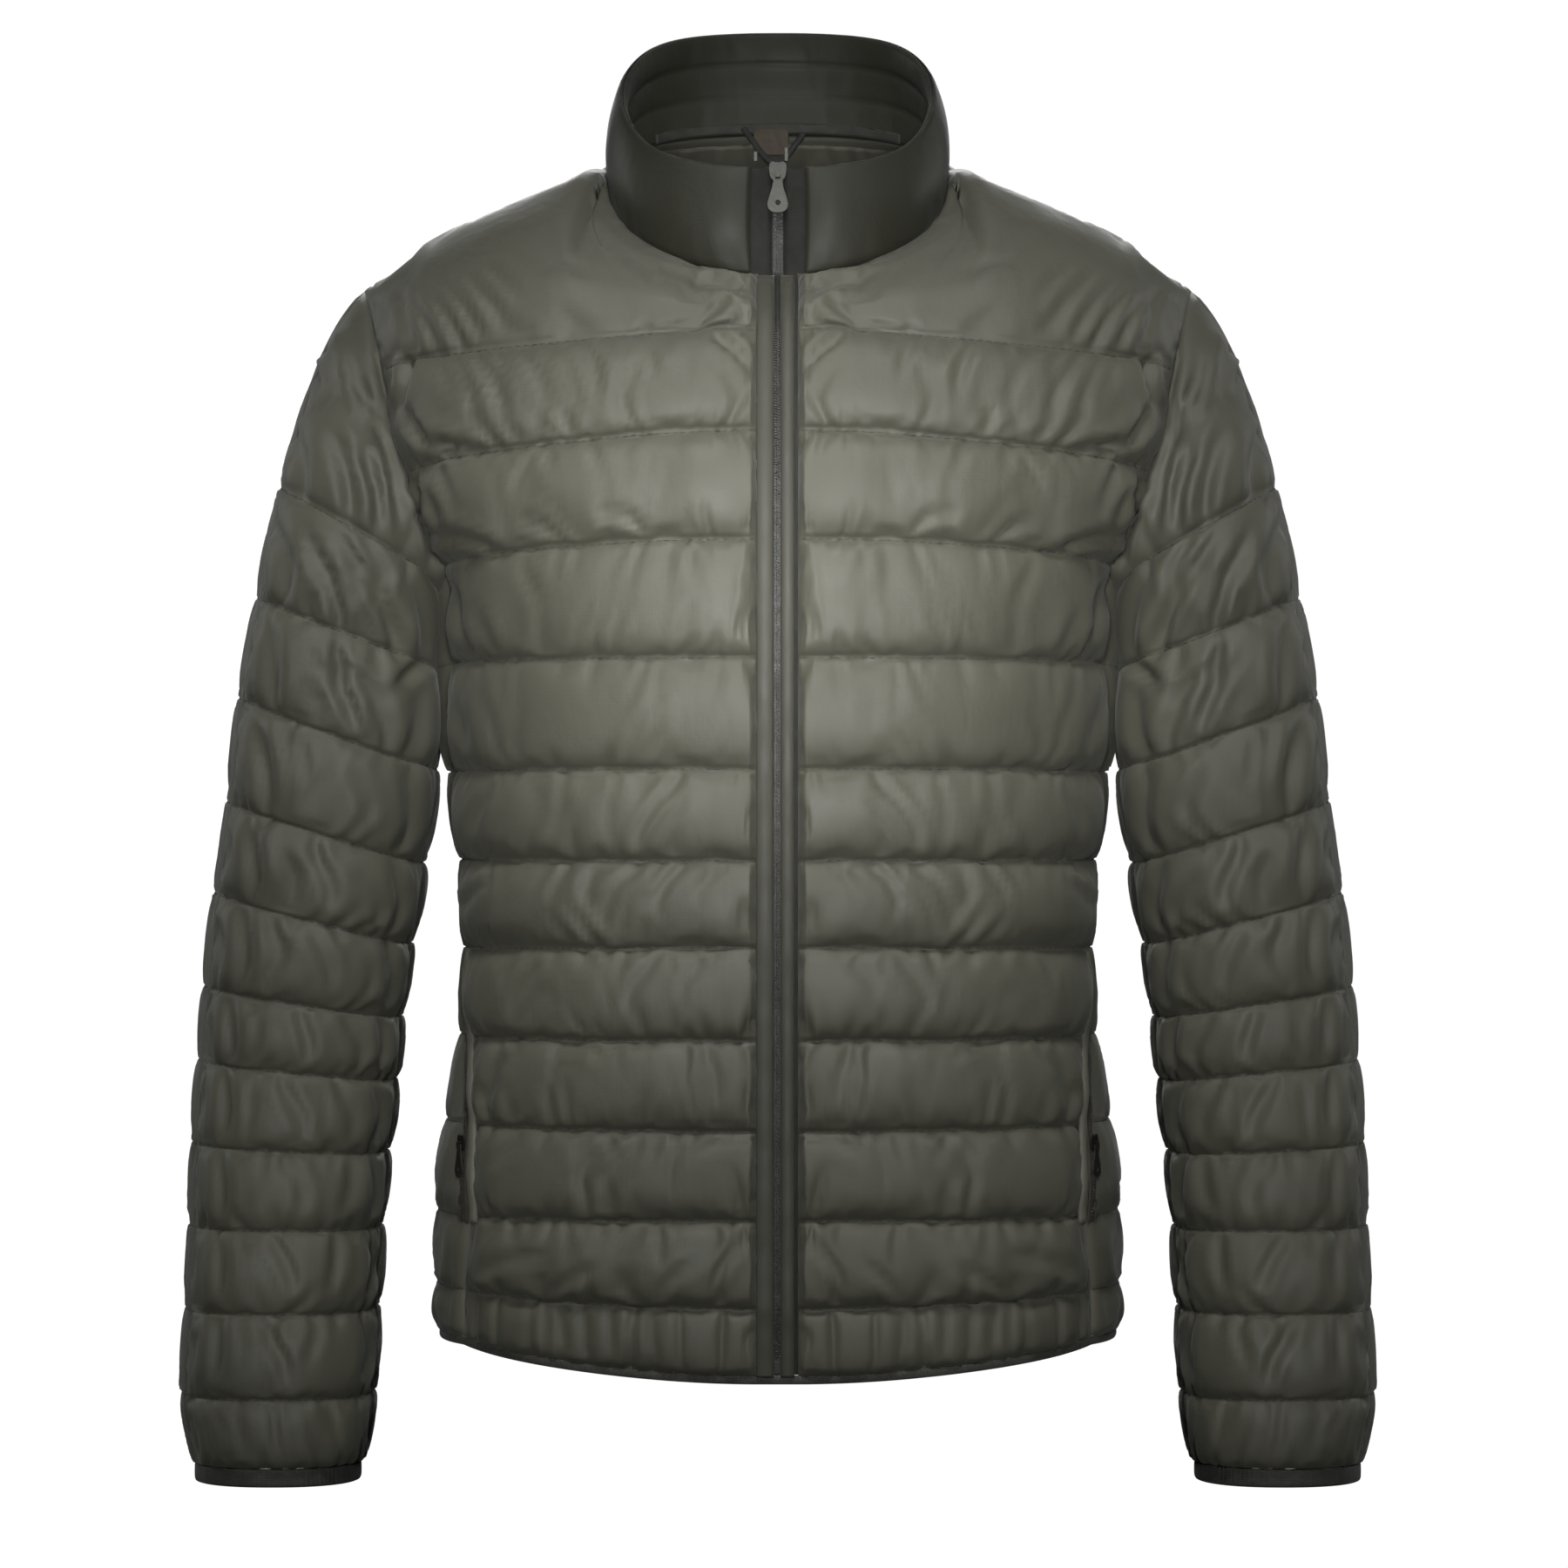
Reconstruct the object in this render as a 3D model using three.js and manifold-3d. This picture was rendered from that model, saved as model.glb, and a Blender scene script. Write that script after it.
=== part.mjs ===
// Quilted down jacket with a stand collar, filled out and hollow, as worn.
// Millimetres, +Z up, the front faces -Y, the wearer's left is +X.
// The origin is the middle of the neck base, level with the side neck points.
import * as THREE from 'three';
import Module from 'manifold-3d';
import { mergeVertices } from 'three/addons/utils/BufferGeometryUtils.js';

const wasm = await Module();
wasm.setup();

// ---------------------------------------------------------------- sizes
const GAP = 0.3; // between pieces at a seam
const HALF = 1; // half the stitched wall: two layers of cloth and flat down
const PUFF_BODY = 9; // how far a baffle's crest stands out of its seams
const PUFF_SLEEVE = 7;
const PUFF_SIDE = 5;
const PUFF_HEM = 3.5;
const FRONT_EDGE = 11; // from the middle of the zip to the quilted front's edge
const COLLAR_OPEN = 15; // the same in the collar, where the zip lies bare
const ROUND = 2.6; // exponent of the chest's section
const NECK_HALF_WIDTH = 92;
const NECK_FRONT = -75; // depth of the neckline, front and back
const NECK_BACK = 68;
const SHOULDER_NECK = [91, 14, 8]; // shoulder seam, x, y, z
const SHOULDER_MID = [165, 24, -32];
const SHOULDER_ARM = [234, 22, -63];
const COLLAR_HALF_WIDTH = 88;
const COLLAR_FRONT = -72;
const COLLAR_BACK = 74;
const BINDING = 4.2; // height of the hem's binding
const CUFF_BINDING = 10.5;

// ---------------------------------------------------------------- tables
const table = (names, rows) => rows.map((r) => Object.fromEntries(names.split(' ').map((n, i) => [n, r[i]])));

// Chest sections, at seam level: half the width, the depth in front of and behind the side line
const TORSO = table('z wide front back', [
  [-670, 183, 124, 124], [-646, 188, 129, 128], [-616, 189, 130, 127], [-573, 188.5, 130, 125], [-529, 184, 129, 122],
  [-502, 178.5, 128, 120], [-465, 175, 127, 117], [-426, 173.5, 128, 116], [-387, 175, 129, 118], [-328, 179, 131, 123],
  [-270, 181, 133, 130], [-232, 183, 132.5, 133], [-215, 191, 132, 134], [-200, 200, 131, 134], [-183, 209, 130, 134],
  [-143, 223, 123, 132], [-105, 229, 111, 128], [-85, 231, 101, 124],
]);
// Quilting lines from the hem up: height at the zip, at the side seam or armhole, at the middle of the back
const ROWS = table('v mid side back', [
  [0, -658, -642, -652], [1, -621.5, -616, -620], [2, -574, -575, -576], [3, -526, -525, -527], [4, -477, -477, -478],
  [5, -426.5, -429, -429], [6, -379.5, -380, -380], [7, -330, -331, -331], [8, -270, -271, -271], [9, -206, -217, -209],
  [10, -147, -166, -152], [11, -91, -109, -96],
]);
// Seam between front and side panel: the angle round the body from the middle of the front
const SIDE_SEAM = table('z turn', [
  [-660, 68], [-616, 67], [-575, 65], [-525, 67], [-477, 72.5], [-430, 78.5], [-380, 80], [-330, 80], [-270, 79],
]);
const BACK_SEAM = table('z turn', [[-660, 116], [-430, 114], [-270, 112]]);
const ARMPIT = -217; // height at which the side panel's two seams meet the armhole
// Armhole seen from the front, front and back edge
const ARMHOLE = table('z front back', [
  [-217, 184.5, 186], [-200, 192, 194], [-183, 199.5, 200], [-165, 205, 205], [-143, 212.5, 211], [-120, 216.5, 216],
  [-100, 220.5, 220],
]);
// Neckline and collar rim: height by depth
const NECK_RISE = table('y z', [[-75, -58], [-62, -45], [-29, -21], [0, -2], [35, 20], [68, 34]]);
const RIM_RISE = table('y z', [[-72, 1], [-52, 14], [-20, 38], [0, 50], [25, 66], [62, 89], [74, 94]]);
// How much the seam at the neck faces up
const NECK_FACE = table('turn up', [[0, 0.3], [45, 0.5], [90, 0.8], [135, 0.45], [180, 0.1]]);
// Sleeve sections on the quilting lines: outer and inner end, middle depth and half depth
const SLEEVE = table('v xo zo xi zi y deep', [
  [1, 278, -172.5, 191.5, -221, 5, 76], [2, 291, -234, 198, -271.5, 4, 72], [3, 301, -290, 196, -330, 2, 69],
  [4, 307.6, -348, 201.5, -382, 0, 66], [5, 314.5, -399, 208, -427, -2, 64], [6, 320, -451, 213, -468, -5, 62],
  [7, 323, -492, 216, -503, -8, 60], [8, 326, -538, 220.5, -543, -12, 59], [9, 327, -583.6, 223.5, -584.6, -17, 57],
  [10, 328.7, -629.6, 225, -629.6, -23, 55], [11, 330.5, -676, 226.5, -676, -29, 53], [12, 325, -713.5, 231, -713.5, -34, 47],
]);
const OVERARM_TURN = 25; // the overarm seam, degrees forward of the sleeve's outer edge

// Samples across each panel, 0 to 1, close together next to the seams
const NECK_END = 0.62; // where the neckline ends and the shoulder seam starts
const FRONT_U = [0, 0.06, 0.14, 0.24, 0.34, 0.44, 0.53, NECK_END, 0.72, 0.82, 0.91, 0.97, 1];
const BACK_U = [0, 0.12, 0.24, 0.36, 0.46, 0.54, NECK_END, 0.72, 0.82, 0.91, 0.97, 1];
const SIDE_U = [0, 0.22, 0.5, 0.78, 1];
const YOKE_V = [11.25, 11.5, 11.75, 12];
const halves = (a, b) => Array.from({ length: (b - a) * 2 + 1 }, (_, i) => a + i / 2);

// ---------------------------------------------------------------- curves
const lerp = (a, b, t) => a + (b - a) * t;
const clamp = (t, a = 0, b = 1) => Math.min(b, Math.max(a, t));
const V = (x, y, z) => new THREE.Vector3(x, y, z);

// Smooth curve through a table's column that never overshoots its rows
function read(rows, key, at, name) {
  const n = rows.length;
  const sgn = rows[n - 1][key] > rows[0][key] ? 1 : -1;
  const x = rows.map((r) => r[key] * sgn);
  const y = rows.map((r) => r[name]);
  const t = clamp(at * sgn, x[0], x[n - 1]);
  let i = 0;
  while (i < n - 2 && t > x[i + 1]) i += 1;
  const slope = (k) => (y[k + 1] - y[k]) / (x[k + 1] - x[k]);
  const tangent = (k) => {
    if (k === 0) return slope(0);
    if (k === n - 1) return slope(n - 2);
    const a = slope(k - 1), b = slope(k);
    if (a * b <= 0) return 0;
    const h0 = x[k] - x[k - 1], h1 = x[k + 1] - x[k];
    return (3 * (h0 + h1)) / ((2 * h1 + h0) / a + (h1 + 2 * h0) / b);
  };
  const h = x[i + 1] - x[i], s = (t - x[i]) / h;
  const a = 2 * s ** 3 - 3 * s ** 2 + 1, b = s ** 3 - 2 * s ** 2 + s;
  const c = -2 * s ** 3 + 3 * s ** 2, d = s ** 3 - s ** 2;
  return a * y[i] + b * h * tangent(i) + c * y[i + 1] + d * h * tangent(i + 1);
}

function hermite(p0, t0, p1, t1, s) {
  const a = 2 * s ** 3 - 3 * s ** 2 + 1, b = s ** 3 - 2 * s ** 2 + s;
  const c = -2 * s ** 3 + 3 * s ** 2, d = s ** 3 - s ** 2;
  return p0.clone().multiplyScalar(a).addScaledVector(t0, b).addScaledVector(p1, c).addScaledVector(t1, d);
}

// ---------------------------------------------------------------- chest
const rad = THREE.MathUtils.degToRad;
// A point of the chest at seam level: turn is 0 at the middle of the front, 90 at the side, 180 behind
function torso(turn, z) {
  const a = rad(turn);
  const wide = read(TORSO, 'z', z, 'wide');
  const deep = read(TORSO, 'z', z, turn < 90 ? 'front' : 'back');
  const r = ((Math.abs(Math.sin(a)) / wide) ** ROUND + (Math.abs(Math.cos(a)) / deep) ** ROUND) ** (-1 / ROUND);
  return V(r * Math.sin(a), -r * Math.cos(a), z);
}
// The turn at which the chest is x wide
function turnAt(x, z, side) {
  const wide = read(TORSO, 'z', z, 'wide'), deep = read(TORSO, 'z', z, side);
  const y = deep * (1 - Math.min(0.999, x / wide) ** ROUND) ** (1 / ROUND);
  const a = (Math.atan2(x, y) * 180) / Math.PI;
  return side === 'front' ? a : 180 - a;
}
SIDE_SEAM.push({ z: ARMPIT, turn: turnAt(ARMHOLE[0].front, ARMPIT, 'front') });
BACK_SEAM.push({ z: ARMPIT, turn: turnAt(ARMHOLE[0].back, ARMPIT, 'back') });
const frontEdgeTurn = (z) => (z < ARMPIT ? read(SIDE_SEAM, 'z', z, 'turn') : turnAt(read(ARMHOLE, 'z', z, 'front'), z, 'front'));
const backEdgeTurn = (z) => (z < ARMPIT ? read(BACK_SEAM, 'z', z, 'turn') : turnAt(read(ARMHOLE, 'z', z, 'back'), z, 'back'));

// Neckline: turn 0 at the middle of the front, 180 behind
function oval(turn, half, front, back) {
  const a = rad(turn), mid = (front + back) / 2, deep = (back - front) / 2;
  const r = ((Math.abs(Math.sin(a)) / half) ** 2.4 + (Math.abs(Math.cos(a)) / deep) ** 2.4) ** (-1 / 2.4);
  return V(r * Math.sin(a), mid - r * Math.cos(a), 0);
}
function neckline(turn) {
  const p = oval(turn, NECK_HALF_WIDTH, NECK_FRONT, NECK_BACK);
  p.z = read(NECK_RISE, 'y', p.y, 'z');
  return p;
}
function rim(turn) {
  const p = oval(turn, COLLAR_HALF_WIDTH, COLLAR_FRONT, COLLAR_BACK);
  p.z = read(RIM_RISE, 'y', p.y, 'z');
  return p;
}
const neckFace = (turn) =>
  V(Math.sin(rad(turn)), -Math.cos(rad(turn)), read(NECK_FACE, 'turn', turn > 180 ? 360 - turn : turn, 'up')).normalize();
const NECK_TURN_FRONT = 8.6; // the neckline at the quilted front's edge
const NECK_TURN_SIDE = 101; // where the shoulder seam starts
const frontNeckTurn = (u) => lerp(NECK_TURN_FRONT, NECK_TURN_SIDE, u / NECK_END);
const backNeckTurn = (u) => lerp(180, NECK_TURN_SIDE, u / NECK_END);

// The way the body's cloth runs into the neckline, and how steeply
const NECK_RUN = table('turn flat up', [[0, 0.5, 0.87], [45, 0.75, 0.6], [75, 0.95, 0.3], [101, 0.95, 0.25], [135, 0.75, 0.6], [180, 0.45, 0.89]]);
function toNeck(turn, y) {
  const a = rad(turn), flat = read(NECK_RUN, 'turn', turn, 'flat');
  const d = V(-Math.sin(a) * flat, Math.cos(a) * flat, read(NECK_RUN, 'turn', turn, 'up'));
  const corner = clamp(1 - Math.abs(turn - NECK_TURN_SIDE) / 25);
  return d.normalize().lerp(V(-0.55, y, 0.2), corner);
}
function shoulderSeam(q) {
  const [a, b, c] = [SHOULDER_NECK, SHOULDER_MID, SHOULDER_ARM];
  const m = (i) => (1 - q) * (1 - q) * a[i] + 2 * q * (1 - q) * (2 * b[i] - (a[i] + c[i]) / 2) + q * q * c[i];
  return V(m(0), m(1), m(2));
}
const SHOULDER_FACE = V(0.25, 0.42, 0.87).normalize();

// Front and back at seam level on the +X side. u runs from the middle to the outer edge, v up the quilting lines;
// past v = 11 the yoke runs over the shoulder to its seam.
function yoke(u, low, lower, top, topDir, s) {
  const p0 = low, up = low.clone().sub(lower).normalize();
  const p1 = top, size = p0.distanceTo(p1) * 0.95;
  return hermite(p0, up.multiplyScalar(size), p1, topDir.clone().normalize().multiplyScalar(size), s);
}
function front(u, v) {
  if (v <= 11) {
    const mid = read(ROWS, 'v', v, 'mid'), side = read(ROWS, 'v', v, 'side');
    const z = lerp(mid, side, u * u);
    const start = turnAt(FRONT_EDGE, z, 'front');
    return torso(lerp(start, frontEdgeTurn(lerp(mid, side, 1)), u), z);
  }
  const atNeck = u <= NECK_END;
  const top = atNeck ? neckline(frontNeckTurn(u)) : shoulderSeam((u - NECK_END) / (1 - NECK_END));
  const dir = atNeck ? toNeck(frontNeckTurn(u), 0.8) : V(-0.55, 0.8, 0.2).lerp(V(0, 0.9, -0.42), clamp((u - NECK_END) / 0.2));
  return yoke(u, front(u, 11), front(u, 10.8), top, dir, v - 11);
}
function back(u, v) {
  if (v <= 11) {
    const mid = read(ROWS, 'v', v, 'back'), side = read(ROWS, 'v', v, 'side');
    return torso(lerp(180, backEdgeTurn(side), u), lerp(mid, side, u * u));
  }
  const atNeck = u <= NECK_END;
  const top = atNeck ? neckline(backNeckTurn(u)) : shoulderSeam((u - NECK_END) / (1 - NECK_END));
  const dir = atNeck ? toNeck(backNeckTurn(u), -0.8) : V(-0.55, -0.8, 0.2).lerp(V(0, -0.9, 0.42), clamp((u - NECK_END) / 0.2));
  return yoke(u, back(u, 11), back(u, 10.8), top, dir, v - 11);
}
// Side panel: u from its front seam to its back seam, its top edge dips under the arm
const SIDE_DIP = 15;
function side(u, v) {
  const z = read(ROWS, 'v', v, 'side') - SIDE_DIP * Math.sin(Math.PI * u) * clamp((v - 7) / 2) ** 2;
  const zs = read(ROWS, 'v', v, 'side');
  return torso(lerp(frontEdgeTurn(zs), backEdgeTurn(zs), u), z);
}

// ---------------------------------------------------------------- armhole and sleeve
// The armhole as a closed row of body points, from the overarm seam down the front, under the arm and up the back
const LOOP = [
  ...[11.75, 11.5, 11.25, 11, 10.5, 10, 9.5, 9].map((v) => front(1, v)),
  ...SIDE_U.slice(1, -1).map((u) => side(u, 9)),
  ...[9, 9.5, 10, 10.5, 11, 11.25, 11.5, 11.75, 12].map((v) => back(1, v)),
];
LOOP.push(LOOP[0].clone());
const LOOP_W = [0];
for (let i = 1; i < LOOP.length; i += 1) LOOP_W.push(LOOP_W[i - 1] + LOOP[i].distanceTo(LOOP[i - 1]));
for (let i = 0, all = LOOP_W.at(-1); i < LOOP.length; i += 1) LOOP_W[i] /= all;
const LOOP_MID = V(0, 3, -146);
const UNDERARM = 9; // the row of LOOP at the underarm seam, the middle of the side panel

function loopAt(w) {
  let i = 0;
  while (i < LOOP.length - 2 && w > LOOP_W[i + 1]) i += 1;
  return LOOP[i].clone().lerp(LOOP[i + 1], clamp((w - LOOP_W[i]) / (LOOP_W[i + 1] - LOOP_W[i])));
}
const loopOut = (p) => V(0, (p.y - LOOP_MID.y) / 75, (p.z - LOOP_MID.z) / 87).normalize();
const armFace = (p) => loopOut(p).add(V(0.5, 0, 0)).normalize();

// Where each armhole point sits round the sleeve: 0 its outer edge, 90 its front
const TURNS = LOOP.map((p, i) => {
  const b = Math.atan2(-(p.y - LOOP_MID.y) / 75, (p.z - LOOP_MID.z) / 87);
  const up = i > UNDERARM && b < 0 ? b + 2 * Math.PI : i === LOOP.length - 1 ? b + 2 * Math.PI : b;
  return { w: LOOP_W[i], turn: (up * 180) / Math.PI + (OVERARM_TURN * (1 + Math.cos(up))) / 2 };
});
const HIDDEN_DIP = 18; // under the arm the second quilting line passes below the armhole
function ring(w, v) {
  const g = (k) => read(SLEEVE, 'v', v, k);
  const a = rad(read(TURNS, 'w', w, 'turn'));
  const c = Math.cos(a), s = Math.sin(a), n = 2.25;
  const r = (Math.abs(c) ** n + Math.abs(s) ** n) ** (-1 / n);
  const cx = (g('xo') + g('xi')) / 2, cz = (g('zo') + g('zi')) / 2;
  const dip = HIDDEN_DIP * Math.exp(-(((a - rad(182)) / rad(32)) ** 2)) * clamp(1 - (v - 1) / 1.5);
  return V(cx + ((g('xo') - g('xi')) / 2) * c * r, g('y') - g('deep') * s * r, cz + ((g('zo') - g('zi')) / 2) * c * r - dip);
}
// Sleeve at seam level: w round it from the overarm seam over the front, v 0 at the armhole, 1 to 12 the quilting
// lines and the cuff
function sleeve(w, v) {
  if (v >= 1) return ring(w, v);
  const p0 = loopAt(w), p1 = ring(w, 1), out = loopOut(p0);
  const size = p0.distanceTo(p1) * 0.8;
  const t0 = V(0.72, 0.3 * out.y, -0.66).normalize().multiplyScalar(size);
  const t1 = ring(w, 1.2).sub(ring(w, 1)).normalize().multiplyScalar(size);
  return hermite(p0, t0, p1, t1, v);
}

// ---------------------------------------------------------------- padding
const pillow = (t) => Math.sin(Math.PI * clamp(t)) ** 0.7;
const row = (v) => pillow(v - Math.floor(v + 1e-6));
const near = (d, reach) => clamp(d / reach); // 0 on a seam, 1 past its reach
const edge = (u, lo, hi) => near(u - 0, lo) * near(1 - u, hi);
function frontPuff(u, v) {
  const e = edge(u, 0.1, v > 9 ? 0.16 : 0.1);
  if (v > 11) return PUFF_BODY * e * Math.min(near(v - 11, 0.2), near(12 - v, 0.25));
  if (v < 1) return PUFF_HEM * e * row(v);
  return PUFF_BODY * e * row(v);
}
const backPuff = (u, v) => {
  const e = near(1 - Math.abs(u), v > 9 ? 0.16 : 0.1);
  if (v > 11) return PUFF_BODY * e * Math.min(near(v - 11, 0.2), near(12 - v, 0.25));
  return (v < 1 ? PUFF_HEM : PUFF_BODY) * e * row(v);
};
const sidePuff = (u, v) => (v < 1 ? PUFF_HEM : PUFF_SIDE) * edge(u, 0.2, 0.2) * row(v) * (v > 8 ? 0.3 : 1);
const pressed = (w) => Math.exp(-(((w - 0.47) / 0.13) ** 2)); // where the sleeve lies against the body
function sleevePuff(w, v) {
  const under = pressed(w);
  const e = near(Math.min(w, 1 - w), 0.05) * near(Math.abs(w - LOOP_W[UNDERARM]), 0.05);
  const press = 1 - 0.8 * under * clamp((4 - v) / 2);
  if (v < 1) {
    const first = 0.5 * Math.max(0, 1 - (Math.min(w, 1 - w) / 0.27) ** 2);
    const t = v < first ? v / first : (v - first) / (1 - first);
    return PUFF_SLEEVE * e * press * pillow(t) * (first > 0.05 ? 0.8 : 0.5);
  }
  return (v > 11 ? 5 : PUFF_SLEEVE) * e * press * row(v);
}

// ---------------------------------------------------------------- solids
const group = new THREE.Group();
const material = (color, roughness, metalness = 0) => new THREE.MeshStandardMaterial({ color, roughness, metalness });
const SHELL = material(0x4b4c42, 0.45);
const TRIM = material(0x33342d, 0.6);
const LINING = material(0x45463c, 0.5);
const TAPE = material(0x1d1d1b, 0.85);
const METAL = material(0xa5a59e, 0.3, 1);
const DARK_METAL = material(0x6a6b66, 0.4, 1);

function closed(points, faces) {
  const g = new THREE.BufferGeometry();
  g.setAttribute('position', new THREE.Float32BufferAttribute(points.flatMap((p) => [p.x, p.y, p.z]), 3));
  let sum = 0;
  for (const [a, b, c] of faces) sum += points[a].dot(points[b].clone().cross(points[c]));
  g.setIndex(sum > 0 ? faces.flat() : faces.flatMap(([a, b, c]) => [a, c, b]));
  return g;
}
function add(name, geometry, mat) {
  const mesh = new THREE.Mesh(geometry, mat);
  mesh.name = name;
  group.add(mesh);
  return mesh;
}

// A wall on a surface: at(u, v) gives its seam level, face(u, v) an optional direction at a mitred seam, outer and
// inner how far its two sides stand from it. The inner side has every skip-th row.
function wall(us, vs, at, outer, inner, { face = () => null, skip = 2, sign = 1 } = {}) {
  const normal = (u, v) => {
    const f = face(u, v);
    if (f) return f;
    const e = 1e-3, [v0, v1] = [vs[0], vs.at(-1)], [u0, u1] = [us[0], us.at(-1)];
    const du = at(Math.min(u + e, u1), v).sub(at(Math.max(u - e, u0), v));
    const dv = at(u, Math.min(v + e, v1)).sub(at(u, Math.max(v - e, v0)));
    return du.cross(dv).normalize().multiplyScalar(sign);
  };
  const n = us.length, m = vs.length, points = [], faces = [];
  for (const v of vs) for (const u of us) points.push(at(u, v).addScaledVector(normal(u, v), outer(u, v)));
  const inRow = new Map();
  for (let j = 0; j < m; j += skip) {
    inRow.set(j, points.length);
    for (const u of us) points.push(at(u, vs[j]).addScaledVector(normal(u, vs[j]), inner(u, vs[j])));
  }
  const quad = (a, b, c, d, other) => faces.push(...(other ? [[a, b, d], [b, c, d]] : [[a, b, c], [a, c, d]]));
  for (let j = 0; j < m - 1; j += 1) for (let i = 0; i < n - 1; i += 1) quad(j * n + i, j * n + i + 1, (j + 1) * n + i + 1, (j + 1) * n + i, us[i] < 0);
  for (let j = 0; j < m - 1; j += skip) {
    const a = inRow.get(j), b = inRow.get(j + skip);
    for (let i = 0; i < n - 1; i += 1) quad(a + i + 1, a + i, b + i, b + i + 1, us[i] < 0);
    for (const [o, k, flip] of [[0, 0, false], [n - 1, n - 1, true]]) {
      const put = (x, y, z) => faces.push(flip ? [x, z, y] : [x, y, z]);
      for (let t = 0; t < skip; t += 1) put((j + t) * n + o, (j + t + 1) * n + o, t < skip / 2 ? a + k : b + k);
      put(a + k, (j + Math.ceil(skip / 2)) * n + o, b + k);
    }
  }
  const a = inRow.get(0), b = inRow.get(m - 1);
  for (let i = 0; i < n - 1; i += 1) {
    quad(i + 1, i, a + i, a + i + 1, us[i] < 0);
    quad((m - 1) * n + i, (m - 1) * n + i + 1, b + i + 1, b + i, us[i] < 0);
  }
  return closed(points, faces);
}
const mirror = (geometry) => {
  const g = geometry.clone();
  const p = g.attributes.position;
  for (let i = 0; i < p.count; i += 1) p.setX(i, -p.getX(i));
  const x = g.index.array;
  for (let i = 0; i < x.length; i += 3) [x[i + 1], x[i + 2]] = [x[i + 2], x[i + 1]];
  return g;
};
function pair(name, geometry, mat) {
  add(`${name}_l`, geometry, mat);
  add(`${name}_r`, mirror(geometry), mat);
}

// ---------------------------------------------------------------- body panels
const inset = (list, a, b) => list.map((t, i) => (i === 0 ? t + a : i === list.length - 1 ? t - b : t));
const ROW_V = [...halves(0, 11), ...YOKE_V];
const frontFace = (u, v) => {
  if (v > 11.99) return u <= NECK_END + 1e-6 ? neckFace(frontNeckTurn(clamp(u))) : u > 0.99 ? armFace(front(1, 12)) : SHOULDER_FACE;
  return u > 0.99 && v > 8.99 ? armFace(front(1, v)) : null;
};
const backFace = (u, v) => {
  if (v > 11.99) return u <= NECK_END + 1e-6 ? neckFace(backNeckTurn(clamp(u))) : u > 0.99 ? armFace(back(1, 12)) : SHOULDER_FACE;
  return u > 0.99 && v > 8.99 ? armFace(back(1, v)) : null;
};
const sideFace = (u, v) => (v > 8.99 ? armFace(side(u, 9)) : null);
const flip = (f) => (f ? V(-f.x, f.y, f.z) : null);

pair('front', wall(inset(FRONT_U, 0, 0.0014), inset(ROW_V, 0, 0.0015), front, (u, v) => HALF + frontPuff(u, v), () => -HALF, { face: frontFace }), SHELL);
const backBoth = (u, v) => {
  const p = back(Math.abs(u), v);
  return u < 0 ? V(-p.x, p.y, p.z) : p;
};
const BACK_BOTH = [...BACK_U.slice(1).map((u) => -u).reverse(), ...BACK_U];
add('back', wall(inset(BACK_BOTH, 0.0014, 0.0014), inset(ROW_V, 0, 0.0015), backBoth, (u, v) => HALF + backPuff(u, v), () => -HALF, {
  face: (u, v) => (u < 0 ? flip(backFace(-u, v)) : backFace(u, v)), sign: -1,
}), SHELL);
pair('side', wall(inset(SIDE_U, 0.003, 0.004), inset(halves(0, 9), 0, 0.004), side, (u, v) => HALF * (v > 8 ? 0.5 : 1) + sidePuff(u, v), () => -HALF, { face: sideFace }), SHELL);

// ---------------------------------------------------------------- sleeves
const SLEEVE_V = [0, 0.25, 0.5, 0.75, ...halves(1, 12)];
const sleeveWall = (ws) =>
  wall(ws, inset(SLEEVE_V, 0.006, 0), sleeve, (w, v) => HALF * (1 - 0.5 * pressed(w) * near(2 - v, 1)) + sleevePuff(w, v), () => -HALF, {
    face: (w, v) => (v < 0.01 ? armFace(loopAt(w)) : null),
  });
pair('sleeve_front', sleeveWall(inset(LOOP_W.slice(0, UNDERARM + 1), 0.0006, 0.0006)), SHELL);
pair('sleeve_back', sleeveWall(inset(LOOP_W.slice(UNDERARM), 0.0006, 0.0006)), SHELL);

// ---------------------------------------------------------------- collar
const COLLAR_PUFF = 3.5;
const FACING = 1.5; // the collar's inner wall
const COLLAR_BULGE = 2;
const COLLAR_TURN = 11.8; // the collar's front ends, beside the zip
const neckTurns = [...FRONT_U.filter((u) => u <= NECK_END).map(frontNeckTurn), ...BACK_U.filter((u) => u < NECK_END).map(backNeckTurn).reverse()];
function collarTurns(first) {
  const half = [first, ...neckTurns.filter((t) => t > first + 4)];
  return [...half, ...half.slice(0, -1).map((t) => 360 - t).reverse()];
}
function collar(turn, v) {
  const p = neckline(turn).lerp(rim(turn), v);
  const a = rad(turn);
  return p.add(V(Math.sin(a), -Math.cos(a), 0).multiplyScalar(COLLAR_BULGE * Math.sin(Math.PI * clamp(v))));
}
const collarEnd = (turn) => near(Math.min(turn, 360 - turn) - COLLAR_TURN, 12);
const COLLAR_V = [0.007, 0.25, 0.5, 0.75, 1];
const collarFace = (turn, v) => (v < 0.02 ? neckFace(turn) : null);
add('collar_outer', wall(collarTurns(COLLAR_TURN), COLLAR_V, collar, (t, v) => HALF + COLLAR_PUFF * collarEnd(t) * pillow(v), () => -HALF, { face: collarFace, skip: 1 }), SHELL);
add('collar_inner', wall(collarTurns(14.5), COLLAR_V, collar, () => -HALF - GAP - 0.1, (t, v) => -HALF - GAP - FACING - 1.5 * pillow(v), { face: collarFace, skip: 1 }), LINING);

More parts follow.
